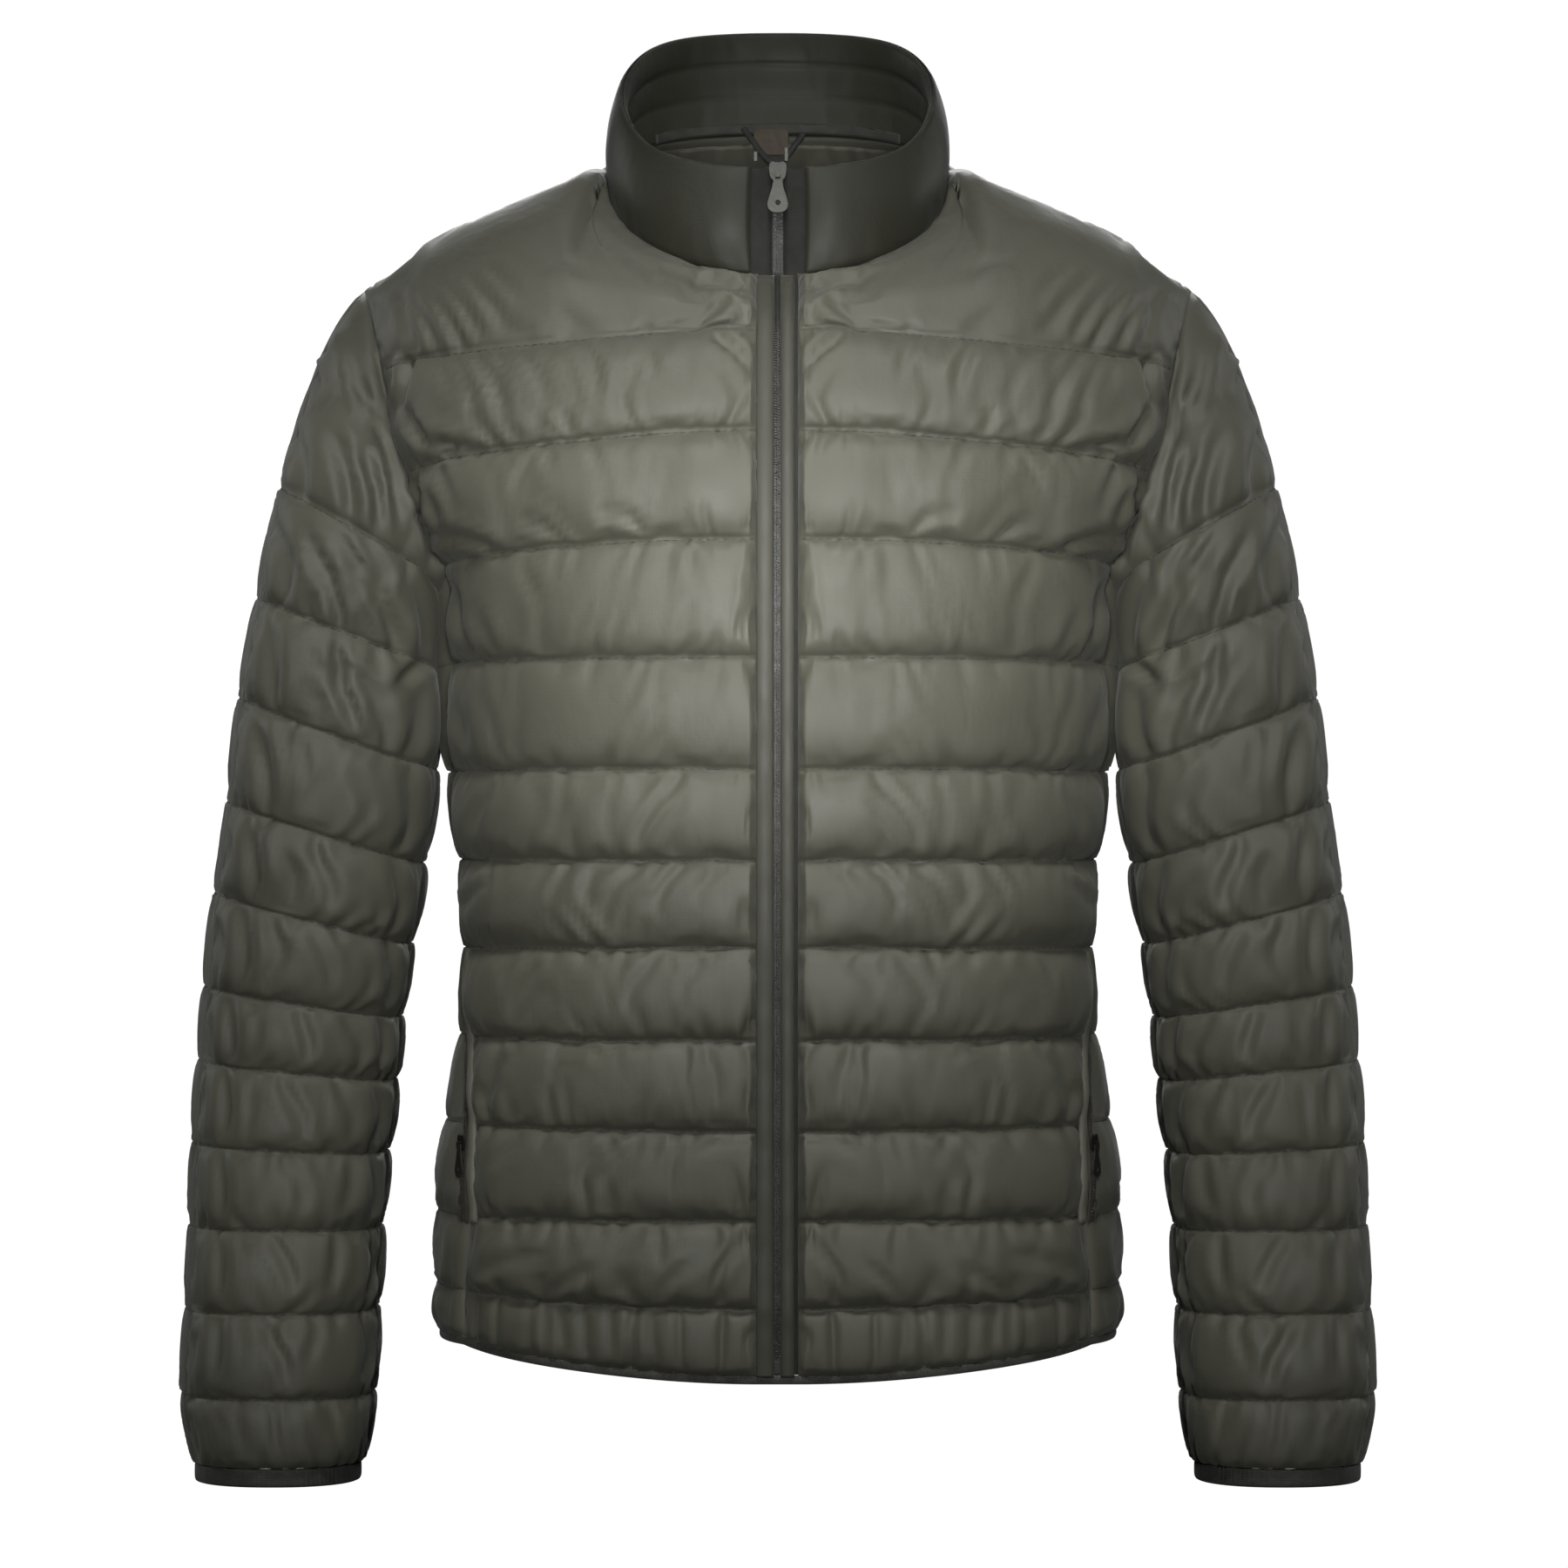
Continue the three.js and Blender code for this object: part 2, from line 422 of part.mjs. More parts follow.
// The little of the inside that shows: lining, seam tape, hanger loop and bare label
const LINING_U = [-0.45, -0.3, -0.15, 0, 0.15, 0.3, 0.45];
const liningAt = (u, v) => backBoth(u, 11.5).lerp(backBoth(u, 11.97), v);
add('neck_lining', wall(LINING_U, [0, 0.5, 1], liningAt, () => -4, () => -5.2, { sign: -1 }), LINING);
const TAPE_TURNS = [125, 136, 147, 158, 169, 180, 191, 202, 213, 224, 235];
add('neck_tape', wall(TAPE_TURNS, [0.01, 0.05, 0.1], collar, () => -4.4, () => -5, {}), TRIM);
const LOOP_WIDE = 3.5, LOOP_THICK = 1;
const LOOP_PATH = [[-20, 38], [-15, 31], [-9, 23], [-3, 18], [3, 20], [9, 27], [15, 35]]; // x, z of the hanging ribbon
const LOOP_Y = 59.5;
const loopShape = new THREE.Shape([[-0.5, -0.5], [0.5, -0.5], [0.5, 0.5], [-0.5, 0.5]].map(([x, y]) => new THREE.Vector2(x * LOOP_WIDE, y * LOOP_THICK)));
const ribbon = (() => {
  const path = LOOP_PATH.map(([x, z]) => V(x, LOOP_Y, z));
  const points = [], faces = [];
  path.forEach((p, i) => {
    const d = path[Math.min(i + 1, path.length - 1)].clone().sub(path[Math.max(i - 1, 0)]).normalize();
    const across = V(-d.z, 0, d.x);
    for (const { x, y } of loopShape.getPoints().slice(0, 4)) points.push(p.clone().addScaledVector(across, x).add(V(0, y, 0)));
  });
  const n = path.length;
  for (let i = 0; i < n - 1; i += 1) for (let k = 0; k < 4; k += 1) {
    const a = i * 4 + k, b = i * 4 + ((k + 1) % 4);
    faces.push([a, b, b + 4], [a, b + 4, a + 4]);
  }
  const e = (n - 1) * 4;
  faces.push([0, 2, 1], [0, 3, 2], [e, e + 1, e + 2], [e, e + 2, e + 3]);
  return closed(points, faces);
})();
add('hanger_loop', ribbon, TAPE);
const LABEL = { wide: 20, high: 15, thick: 0.6, y: 62.2, z: 30 };
const label = new THREE.BoxGeometry(LABEL.wide, LABEL.thick, LABEL.high);
label.translate(-4, LABEL.y, LABEL.z);
add('neck_label', label, TRIM);

// ---------------------------------------------------------------- bindings
function hem(c) {
  const t = c > 1 ? 2 - c : c;
  const p = t < 0.42 ? front(t / 0.42, 0) : t < 0.62 ? side((t - 0.42) / 0.2, 0) : back((1 - t) / 0.38, 0);
  return c > 1 ? V(-p.x, p.y, p.z) : p;
}
const HEM_C = Array.from({ length: 41 }, (_, i) => i / 20);
add('hem_binding', wall(HEM_C, [0, 0.5, 1], (c, v) => hem(c).add(V(0, 0, -GAP - BINDING * v)), () => 1.7, () => -1.7, {
  face: (c) => {
    const d = hem(Math.min(c + 0.01, 2)).sub(hem(Math.max(c - 0.01, 0)));
    return V(d.y, -d.x, 0).normalize();
  },
}), TRIM);
const CUFF_W = Array.from({ length: 21 }, (_, i) => lerp(0.0006, 0.9994, i / 20));
pair('cuff_binding', wall(CUFF_W, [0, 0.5, 1], (c, v) => {
  const p = ring((c + LOOP_W[UNDERARM]) % 1, 12);
  const q = V(278, -34, p.z);
  return p.lerp(q, 0.02 + 0.05 * v).add(V(0, 0, -GAP - CUFF_BINDING * v));
}, () => 1.4, () => -1.4), TRIM);

// ---------------------------------------------------------------- front zip
function frontLine(v) {
  if (v < 1) return front(0, 0).lerp(front(0, 1), v);
  return v <= 12 ? front(0, v) : collar(COLLAR_TURN, v - 12);
}
const strip = (x0, x1, inner, outer, vs) => wall([x0, x1], vs, (x, v) => {
  const p = frontLine(v);
  return V(x, p.y, p.z);
}, () => outer, () => inner, { skip: 1 });
const LONG_V = [...ROW_V.filter((v) => Number.isInteger(v)).slice(0, -1), 11.5]; // the rows of the fronts' inner side
const ZIP_V = [...LONG_V, 11.96];
const ALL_V = [...LONG_V, 12, 12.25, 12.5, 12.75, 12.9];
pair('edge_strip', strip(1.2, 10.7, -0.2, 1.2, ZIP_V), SHELL);
pair('zip_tape', strip(3.3, 17, -2.4, -1.75, inset([...ALL_V, 13], 0.01, 0)), TAPE);
add('zip_chain', strip(-3, 3, -2.6, -0.6, [0.25, ...ALL_V.slice(1)]), TAPE);
add('bottom_box', strip(-3, 3, -2.5, -0.5, [0.03, 0.12, 0.22]), DARK_METAL);

const BODY_V = frontLine(12.95);
const bar = (x0, x1, y0, y1, z0, z1) => {
  const g = new THREE.BoxGeometry(x1 - x0, y1 - y0, z1 - z0);
  g.translate((x0 + x1) / 2, (y0 + y1) / 2, (z0 + z1) / 2);
  return g;
};
add('top_stop_l', bar(3.5, 5.9, BODY_V.y - 0.6, BODY_V.y + 1.6, 4.2, 12), METAL);
add('top_stop_r', bar(-13.4, -11, BODY_V.y - 0.6, BODY_V.y + 1.6, 4.2, 9.6), METAL);

// Sliders and pull tabs, in a frame of their own: x across, y up, z out of the cloth; the tab hangs from a bar in
// the slider's arch
const PIN = { y: -2, z: 2.2 }; // the bar that the tab turns on
const REACH = 3.4; // the tab is open this far from the bar, to pass the arch
function solid(geometry) {
  const g = geometry.clone();
  g.deleteAttribute('normal');
  g.deleteAttribute('uv');
  const m = mergeVertices(g, 1e-4);
  return new wasm.Manifold(new wasm.Mesh({ numProp: 3, vertProperties: m.attributes.position.array, triVerts: Uint32Array.from(m.index.array) }));
}
function geometryOf(manifold) {
  const m = manifold.getMesh();
  const g = new THREE.BufferGeometry();
  g.setAttribute('position', new THREE.BufferAttribute(new Float32Array(m.vertProperties), 3));
  g.setIndex([...m.triVerts]);
  return g;
}
function outline(rows, depth) {
  const right = rows.map(([x, y]) => new THREE.Vector2(x, y));
  const left = [...rows].reverse().map(([x, y]) => new THREE.Vector2(-x, y));
  const g = new THREE.ExtrudeGeometry(new THREE.Shape([...right, ...left]), { depth, bevelEnabled: false });
  g.translate(0, 0, -depth / 2);
  return g;
}
const SLIDER_OUTLINE = [[2.6, -5.5], [4.2, -3.5], [4.9, 1], [4.6, 3.6], [3, 5.5], [1.4, 4.6]];
function sliderGeometry(rear) {
  const plate = outline(SLIDER_OUTLINE, 1.2);
  plate.translate(0, 0, 0.6);
  let body = solid(plate).add(solid(bar(-1.1, 1.1, -4.4, 0.4, 1, 4.2)).subtract(solid(bar(-2, 2, -3.4, -0.6, 1.2, 3.2))));
  if (rear) {
    const behind = outline(SLIDER_OUTLINE, 1);
    behind.translate(0, 0, -3.5);
    body = body.add(solid(behind)).add(solid(bar(-1, 1, 1, 4, -3.2, 0.2)));
  }
  return geometryOf(body);
}
const TAB_OUTLINE = [[2.6, -1.5], [2.6, -7], [3.2, -10], [4.8, -15], [5.8, -19], [5.3, -21.6], [3.8, -23.3], [1.6, -24]];
function tabGeometry() {
  const slot = bar(-1.5, 1.5, PIN.y - REACH, PIN.y - 0.55, -2, 2);
  const eye = new THREE.CylinderGeometry(1.5, 1.5, 4, 12);
  eye.rotateX(Math.PI / 2);
  eye.translate(0, -18.5, 0);
  return geometryOf(solid(outline(TAB_OUTLINE, 1.1)).subtract(solid(slot)).subtract(solid(eye))).translate(0, 0, PIN.z);
}
function place(mesh, at, up, out, size = 1) {
  const across = up.clone().cross(out).normalize();
  mesh.applyMatrix4(new THREE.Matrix4().makeBasis(across, out.clone().cross(across).normalize(), out).scale(V(size, size, size)).setPosition(at));
}
const zipUp = frontLine(12.99).sub(frontLine(12.9)).setX(0).normalize();
const zipOut = V(0, -zipUp.z, zipUp.y);
const zipAt = frontLine(12.96).setX(0);
place(add('zip_slider', sliderGeometry(true), METAL), zipAt, zipUp, zipOut);
place(add('zip_pull', tabGeometry(), METAL), zipAt, zipUp, zipOut);

// ---------------------------------------------------------------- pockets
const POCKET_V = [1.9, ...halves(2, 5)];
const onFront = 1.2, onSide = 0.9; // thickness of the welt and of the closed zip
pair('pocket_welt', wall([0.9705, 0.994], POCKET_V, front, (u, v) => HALF + frontPuff(u, v) + 1.1 + onFront, (u, v) => HALF + frontPuff(u, v) + 1.1, { skip: 1 }), SHELL);
pair('pocket_zip', wall([0.008, 0.05], POCKET_V, side, (u, v) => HALF + sidePuff(u, v) + 0.5 + onSide, (u, v) => HALF + sidePuff(u, v) + 0.5, { skip: 1 }), TAPE);
const POCKET_SLIDER_V = 2.8, POCKET_SLIDER_U = 0.03, SMALL = 0.8;
for (const [s, name] of [[1, 'l'], [-1, 'r']]) {
  const at = side(POCKET_SLIDER_U, POCKET_SLIDER_V);
  const across = side(POCKET_SLIDER_U + 0.02, POCKET_SLIDER_V).sub(side(POCKET_SLIDER_U - 0.02, POCKET_SLIDER_V)).setZ(0).normalize();
  const out = V(across.y, -across.x, 0);
  at.addScaledVector(out, HALF + 1.1 + 0.5 + onSide + 0.9);
  const put = (p) => V(p.x * s, p.y, p.z);
  place(add(`pocket_slider_${name}`, sliderGeometry(false), DARK_METAL), put(at), V(0, 0, 1), put(out), SMALL);
  place(add(`pocket_pull_${name}`, tabGeometry(), METAL), put(at), V(0, 0, 1), put(out), SMALL);
}

export default group;
export { front, back, side, sleeve, collar, frontLine, zipAt, zipUp, zipOut };
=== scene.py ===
import math

import bmesh
import bpy
import numpy as np
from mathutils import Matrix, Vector


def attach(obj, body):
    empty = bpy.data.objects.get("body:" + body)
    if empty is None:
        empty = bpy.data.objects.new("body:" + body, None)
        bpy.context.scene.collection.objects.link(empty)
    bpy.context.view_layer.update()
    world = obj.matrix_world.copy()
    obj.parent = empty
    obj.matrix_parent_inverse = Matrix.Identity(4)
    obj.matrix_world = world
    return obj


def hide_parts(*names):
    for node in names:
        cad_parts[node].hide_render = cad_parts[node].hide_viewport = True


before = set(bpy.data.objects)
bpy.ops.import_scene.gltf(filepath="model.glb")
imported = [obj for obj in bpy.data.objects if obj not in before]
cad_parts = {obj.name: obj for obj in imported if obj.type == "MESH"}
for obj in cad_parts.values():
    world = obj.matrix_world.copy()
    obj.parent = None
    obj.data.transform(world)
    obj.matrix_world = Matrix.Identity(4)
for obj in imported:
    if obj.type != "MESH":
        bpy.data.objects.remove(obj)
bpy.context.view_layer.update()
MM = 0.001

# ------------------------------------------------------------------ sizes, as in the solids
HALF = 1.0
PUFF_BODY, PUFF_SLEEVE, PUFF_SIDE, PUFF_HEM = 8.2, 5.8, 3.0, 3.5
FRONT_EDGE, ROUND = 11.0, 2.6
NECK_HALF_WIDTH, NECK_FRONT, NECK_BACK = 92.0, -75.0, 68.0
SHOULDER = [(91, 14, 8), (165, 24, -32), (234, 22, -63)]
COLLAR_HALF_WIDTH, COLLAR_FRONT, COLLAR_BACK = 88.0, -72.0, 74.0
BINDING, CUFF_BINDING = 4.2, 10.5
TORSO = [
    (-670, 183, 124, 124), (-646, 188, 129, 128), (-616, 189, 130, 127), (-573, 188.5, 130, 125), (-529, 184, 129, 122),
    (-502, 178.5, 128, 120), (-465, 175, 127, 117), (-426, 173.5, 128, 116), (-387, 175, 129, 118), (-328, 179, 131, 123),
    (-270, 181, 133, 130), (-232, 183, 132.5, 133), (-215, 191, 132, 134), (-200, 200, 131, 134), (-183, 209, 130, 134),
    (-143, 223, 123, 132), (-105, 229, 111, 128), (-85, 231, 101, 124),
]
ROWS = [
    (0, -658, -642, -652), (1, -621.5, -616, -620), (2, -574, -575, -576), (3, -526, -525, -527), (4, -477, -477, -478),
    (5, -426.5, -429, -429), (6, -379.5, -380, -380), (7, -330, -331, -331), (8, -270, -271, -271), (9, -206, -217, -209),
    (10, -147, -166, -152), (11, -91, -109, -96),
]
SIDE_SEAM = [(-660, 68), (-616, 67), (-575, 65), (-525, 67), (-477, 72.5), (-430, 78.5), (-380, 80), (-330, 80), (-270, 79)]
BACK_SEAM = [(-660, 116), (-430, 114), (-270, 112)]
ARMPIT = -217.0
ARMHOLE = [(-217, 184.5, 186), (-200, 192, 194), (-183, 199.5, 200), (-165, 205, 205), (-143, 212.5, 211), (-120, 216.5, 216), (-100, 220.5, 220)]
NECK_RISE = [(-75, -58), (-62, -45), (-29, -21), (0, -2), (35, 20), (68, 34)]
RIM_RISE = [(-72, 1), (-52, 14), (-20, 38), (0, 50), (25, 66), (62, 89), (74, 94)]
SLEEVE = [
    (1, 278, -172.5, 191.5, -221, 5, 76), (2, 291, -234, 198, -271.5, 4, 72), (3, 301, -290, 196, -330, 2, 69),
    (4, 307.6, -348, 201.5, -382, 0, 66), (5, 314.5, -399, 208, -427, -2, 64), (6, 320, -451, 213, -468, -5, 62),
    (7, 323, -492, 216, -503, -8, 60), (8, 326, -538, 220.5, -543, -12, 59), (9, 327, -583.6, 223.5, -584.6, -17, 57),
    (10, 328.7, -629.6, 225, -629.6, -23, 55), (11, 330.5, -676, 226.5, -676, -29, 53), (12, 325, -713.5, 231, -713.5, -34, 47),
]
OVERARM_TURN, NECK_END, SIDE_DIP = 25.0, 0.62, 15.0
NECK_TURN_FRONT, NECK_TURN_SIDE = 8.6, 101.0
NECK_RUN = [(0, 0.5, 0.87), (45, 0.75, 0.6), (75, 0.95, 0.3), (101, 0.95, 0.25), (135, 0.75, 0.6), (180, 0.45, 0.89)]


# ------------------------------------------------------------------ curves
class Curve:
    """Smooth curve through a table's column that never overshoots its rows."""

    def __init__(self, rows, col):
        x = np.array([r[0] for r in rows], float)
        y = np.array([r[col] for r in rows], float)
        if x[-1] < x[0]:
            x, y = x[::-1], y[::-1]
        self.x, self.y = x, y
        s = np.diff(y) / np.diff(x)
        t = np.zeros(len(x))
        t[0], t[-1] = s[0], s[-1]
        for k in range(1, len(x) - 1):
            a, b = s[k - 1], s[k]
            if a * b > 0:
                h0, h1 = x[k] - x[k - 1], x[k + 1] - x[k]
                t[k] = 3 * (h0 + h1) / ((2 * h1 + h0) / a + (h1 + 2 * h0) / b)
        self.t = t

    def __call__(self, at):
        q = np.clip(at, self.x[0], self.x[-1])
        i = np.clip(np.searchsorted(self.x, q, "right") - 1, 0, len(self.x) - 2)
        h = self.x[i + 1] - self.x[i]
        s = (q - self.x[i]) / h
        return (
            (2 * s**3 - 3 * s**2 + 1) * self.y[i]
            + (s**3 - 2 * s**2 + s) * h * self.t[i]
            + (-2 * s**3 + 3 * s**2) * self.y[i + 1]
            + (s**3 - s**2) * h * self.t[i + 1]
        )


def vec(x, y, z):
    x, y, z = np.broadcast_arrays(x, y, z)
    return np.stack([x, y, z], -1).astype(float)


def unit(v):
    return v / np.maximum(np.linalg.norm(v, axis=-1, keepdims=True), 1e-9)


def mix(a, b, t):
    return a + (b - a) * t


def ease(t):
    t = np.clip(t, 0, 1)
    return t * t * (3 - 2 * t)


def hermite(p0, t0, p1, t1, s):
    s = np.asarray(s, float)[..., None]
    return (2 * s**3 - 3 * s**2 + 1) * p0 + (s**3 - 2 * s**2 + s) * t0 + (-2 * s**3 + 3 * s**2) * p1 + (s**3 - s**2) * t1


wide, deep_front, deep_back = Curve(TORSO, 1), Curve(TORSO, 2), Curve(TORSO, 3)
row_mid, row_side, row_back = Curve(ROWS, 1), Curve(ROWS, 2), Curve(ROWS, 3)
arm_front, arm_back = Curve(ARMHOLE, 1), Curve(ARMHOLE, 2)


def torso(turn, z):
    a = np.radians(turn)
    w, d = wide(z), np.where(np.asarray(turn) < 90, deep_front(z), deep_back(z))
    r = ((np.abs(np.sin(a)) / w) ** ROUND + (np.abs(np.cos(a)) / d) ** ROUND) ** (-1 / ROUND)
    return vec(r * np.sin(a), -r * np.cos(a), z)


def turn_at(x, z, behind):
    d = deep_back(z) if behind else deep_front(z)
    y = d * (1 - np.minimum(0.999, x / wide(z)) ** ROUND) ** (1 / ROUND)
    a = np.degrees(np.arctan2(x, y))
    return 180 - a if behind else a


side_seam = Curve(SIDE_SEAM + [(ARMPIT, float(turn_at(ARMHOLE[0][1], ARMPIT, False)))], 1)
back_seam = Curve(BACK_SEAM + [(ARMPIT, float(turn_at(ARMHOLE[0][2], ARMPIT, True)))], 1)


def front_edge_turn(z):
    return np.where(z < ARMPIT, side_seam(z), turn_at(arm_front(z), z, False))


def back_edge_turn(z):
    return np.where(z < ARMPIT, back_seam(z), turn_at(arm_back(z), z, True))


def oval(turn, half, front_y, back_y, rise):
    a, mid, deep = np.radians(turn), (front_y + back_y) / 2, (back_y - front_y) / 2
    r = ((np.abs(np.sin(a)) / half) ** 2.4 + (np.abs(np.cos(a)) / deep) ** 2.4) ** (-1 / 2.4)
    y = mid - r * np.cos(a)
    return vec(r * np.sin(a), y, rise(y))


neck_rise, rim_rise = Curve(NECK_RISE, 1), Curve(RIM_RISE, 1)
run_flat, run_up = Curve(NECK_RUN, 1), Curve(NECK_RUN, 2)


def neckline(turn):
    return oval(turn, NECK_HALF_WIDTH, NECK_FRONT, NECK_BACK, neck_rise)


def rim(turn):
    return oval(turn, COLLAR_HALF_WIDTH, COLLAR_FRONT, COLLAR_BACK, rim_rise)


def to_neck(turn, y):
    a = np.radians(turn)
    d = unit(vec(-np.sin(a) * run_flat(turn), np.cos(a) * run_flat(turn), run_up(turn)))
    corner = np.clip(1 - np.abs(turn - NECK_TURN_SIDE) / 25, 0, 1)[..., None]
    return mix(d, np.array([-0.55, y, 0.2]), corner)


def shoulder_seam(q):
    a, b, c = (np.array(p, float) for p in SHOULDER)
    q = np.asarray(q)[..., None]
    return (1 - q) ** 2 * a + 2 * q * (1 - q) * (2 * b - (a + c) / 2) + q * q * c


def low_front(u, v):
    mid, side_z = row_mid(v), row_side(v)
    z = mix(mid, side_z, u * u)
    return torso(mix(turn_at(FRONT_EDGE, z, False), front_edge_turn(side_z), u), z)


def low_back(u, v):
    mid, side_z = row_back(v), row_side(v)
    return torso(mix(180.0, back_edge_turn(side_z), u), mix(mid, side_z, u * u))


def over_shoulder(u, v, low, neck_turn, y):
    p0, p1 = low(u, 11.0 + 0 * v), low(u, 10.8 + 0 * v)
    turn = neck_turn(np.minimum(u, NECK_END))
    q = np.clip((u - NECK_END) / (1 - NECK_END), 0, 1)
    at_neck = (u <= NECK_END)[..., None]
    top = np.where(at_neck, neckline(turn), shoulder_seam(q))
    k = np.clip((u - NECK_END) / 0.2, 0, 1)[..., None]
    arm = mix(np.array([-0.55, y, 0.2]), np.array([0, math.copysign(0.9, y), -0.42 if y > 0 else 0.42]), k)
    d = unit(np.where(at_neck, to_neck(turn, y), arm))
    size = np.linalg.norm(p0 - top, axis=-1, keepdims=True) * 0.95
    return hermite(p0, unit(p0 - p1) * size, top, d * size, v - 11)


def front(u, v):
    u, v = np.broadcast_arrays(np.asarray(u, float), np.asarray(v, float))
    turn = lambda q: mix(NECK_TURN_FRONT, NECK_TURN_SIDE, q / NECK_END)
    return np.where((v <= 11)[..., None], low_front(u, np.minimum(v, 11)), over_shoulder(u, np.maximum(v, 11), low_front, turn, 0.8))


def back_half(u, v):
    turn = lambda q: mix(180.0, NECK_TURN_SIDE, q / NECK_END)
    return np.where((v <= 11)[..., None], low_back(u, np.minimum(v, 11)), over_shoulder(u, np.maximum(v, 11), low_back, turn, -0.8))


def back(u, v):
    u, v = np.broadcast_arrays(np.asarray(u, float), np.asarray(v, float))
    p = back_half(np.abs(u), v)
    p[..., 0] *= np.where(u < 0, -1, 1)
    return p


def side(u, v):
    u, v = np.broadcast_arrays(np.asarray(u, float), np.asarray(v, float))
    zs = row_side(v)
    z = zs - SIDE_DIP * np.sin(np.pi * u) * np.clip((v - 7) / 2, 0, 1) ** 2
    return torso(mix(front_edge_turn(zs), back_edge_turn(zs), u), z)


# the armhole: a closed run over the front's edge, the side panel's top and the back's edge
LOOP = [(0, v) for v in (11.75, 11.5, 11.25, 11, 10.5, 10, 9.5, 9)] + [(1, u) for u in (0.22, 0.5, 0.78)]
LOOP += [(2, v) for v in (9, 9.5, 10, 10.5, 11, 11.25, 11.5, 11.75, 12)] + [(0, 11.75)]


def loop_point(kind, t):
    one = np.ones_like(t)
    return np.where((kind == 0)[..., None], front(one, t), np.where((kind == 1)[..., None], side(t, 9 * one), back(one, t)))


LOOP_P = np.array([loop_point(np.array([k]), np.array([float(t)]))[0] for k, t in LOOP])
LOOP_W = np.concatenate([[0], np.cumsum(np.linalg.norm(np.diff(LOOP_P, axis=0), axis=1))])
LOOP_W /= LOOP_W[-1]
UNDERARM = LOOP_W[9]


def loop_at(w):
    w = np.asarray(w, float)
    i = np.clip(np.searchsorted(LOOP_W, w, "right") - 1, 0, len(LOOP_W) - 2)
    f = np.clip((w - LOOP_W[i]) / (LOOP_W[i + 1] - LOOP_W[i]), 0, 1)
    kinds, ts = np.array([k for k, _ in LOOP]), np.array([float(t) for _, t in LOOP])
    a, b, ta, tb = kinds[i], kinds[i + 1], ts[i], ts[i + 1]
    ta = np.where((a == 0) & (b == 1), 0.0, ta)  # the corners where the side panel's seams meet the armhole
    tb = np.where((a == 1) & (b == 2), 1.0, tb)
    kind = np.where(b == 1, 1, a)
    ta = np.where((a == 2) & (b == 0), 12.0, ta)
    kind = np.where((a == 2) & (b == 0), 0, kind)
    return loop_point(kind, mix(ta, tb, f))


def loop_out(p):
    return unit(vec(0, (p[..., 1] - 3) / 75, (p[..., 2] + 146) / 87))


_b = np.arctan2(-(LOOP_P[:, 1] - 3) / 75, (LOOP_P[:, 2] + 146) / 87)
_b = np.where(((np.arange(len(_b)) > 9) & (_b < 0)) | (np.arange(len(_b)) == len(_b) - 1), _b + 2 * np.pi, _b)
turn_of = Curve([(w, math.degrees(b) + OVERARM_TURN * (1 + math.cos(b)) / 2) for w, b in zip(LOOP_W, _b)], 1)
sl = [Curve(SLEEVE, k) for k in range(1, 7)]


def ring(w, v):
    xo, zo, xi, zi, y, deep = (c(v) for c in sl)
    a = np.radians(turn_of(w))
    c, s = np.cos(a), np.sin(a)
    r = (np.abs(c) ** 2.25 + np.abs(s) ** 2.25) ** (-1 / 2.25)
    dip = 18 * np.exp(-(((a - math.radians(182)) / math.radians(32)) ** 2)) * np.clip(1 - (v - 1) / 1.5, 0, 1)
    return vec((xo + xi) / 2 + (xo - xi) / 2 * c * r, y - deep * s * r, (zo + zi) / 2 + (zo - zi) / 2 * c * r - dip)


def sleeve(w, v):
    w, v = np.broadcast_arrays(np.asarray(w, float), np.asarray(v, float))
    p0, p1 = loop_at(w), ring(w, 1.0 + 0 * w)
    out = loop_out(p0)
    size = np.linalg.norm(p0 - p1, axis=-1, keepdims=True) * 0.8
    t0 = unit(vec(0.72, 0.3 * out[..., 1], -0.66)) * size
    t1 = unit(ring(w, 1.2 + 0 * w) - p1) * size
    return np.where((v >= 1)[..., None], ring(w, np.maximum(v, 1)), hermite(p0, t0, p1, t1, np.minimum(v, 1)))


def collar(turn, v):
    turn, v = np.broadcast_arrays(np.asarray(turn, float), np.asarray(v, float))
    a = np.radians(turn)
    bulge = 2 * np.sin(np.pi * np.clip(v, 0, 1))
    return mix(neckline(turn), rim(turn), v[..., None]) + vec(np.sin(a) * bulge, -np.cos(a) * bulge, 0)


COLLAR_TURN = 11.8


def front_line(v):
    v = np.asarray(v, float)
    low = mix(front(0.0, 0.0), front(0.0, 1.0), np.clip(v, 0, 1)[..., None])
    up = np.where((v <= 12)[..., None], front(0 * v, np.clip(v, 0, 12)), collar(COLLAR_TURN + 0 * v, np.clip(v - 12, 0, 1)))
    return np.where((v < 1)[..., None], low, up)


# ------------------------------------------------------------------ photo-plane coordinates for placing creases
def picture(p):
    """Where a point is seen from the front: across (mirrored, so both sides agree) and down, in steps of 0.49 mm."""
    k = 0.49 * (3200 + p[..., 1]) / 3200
    return 893 - np.abs(p[..., 0]) / k, 900 - (p[..., 2] + 338.1) / k


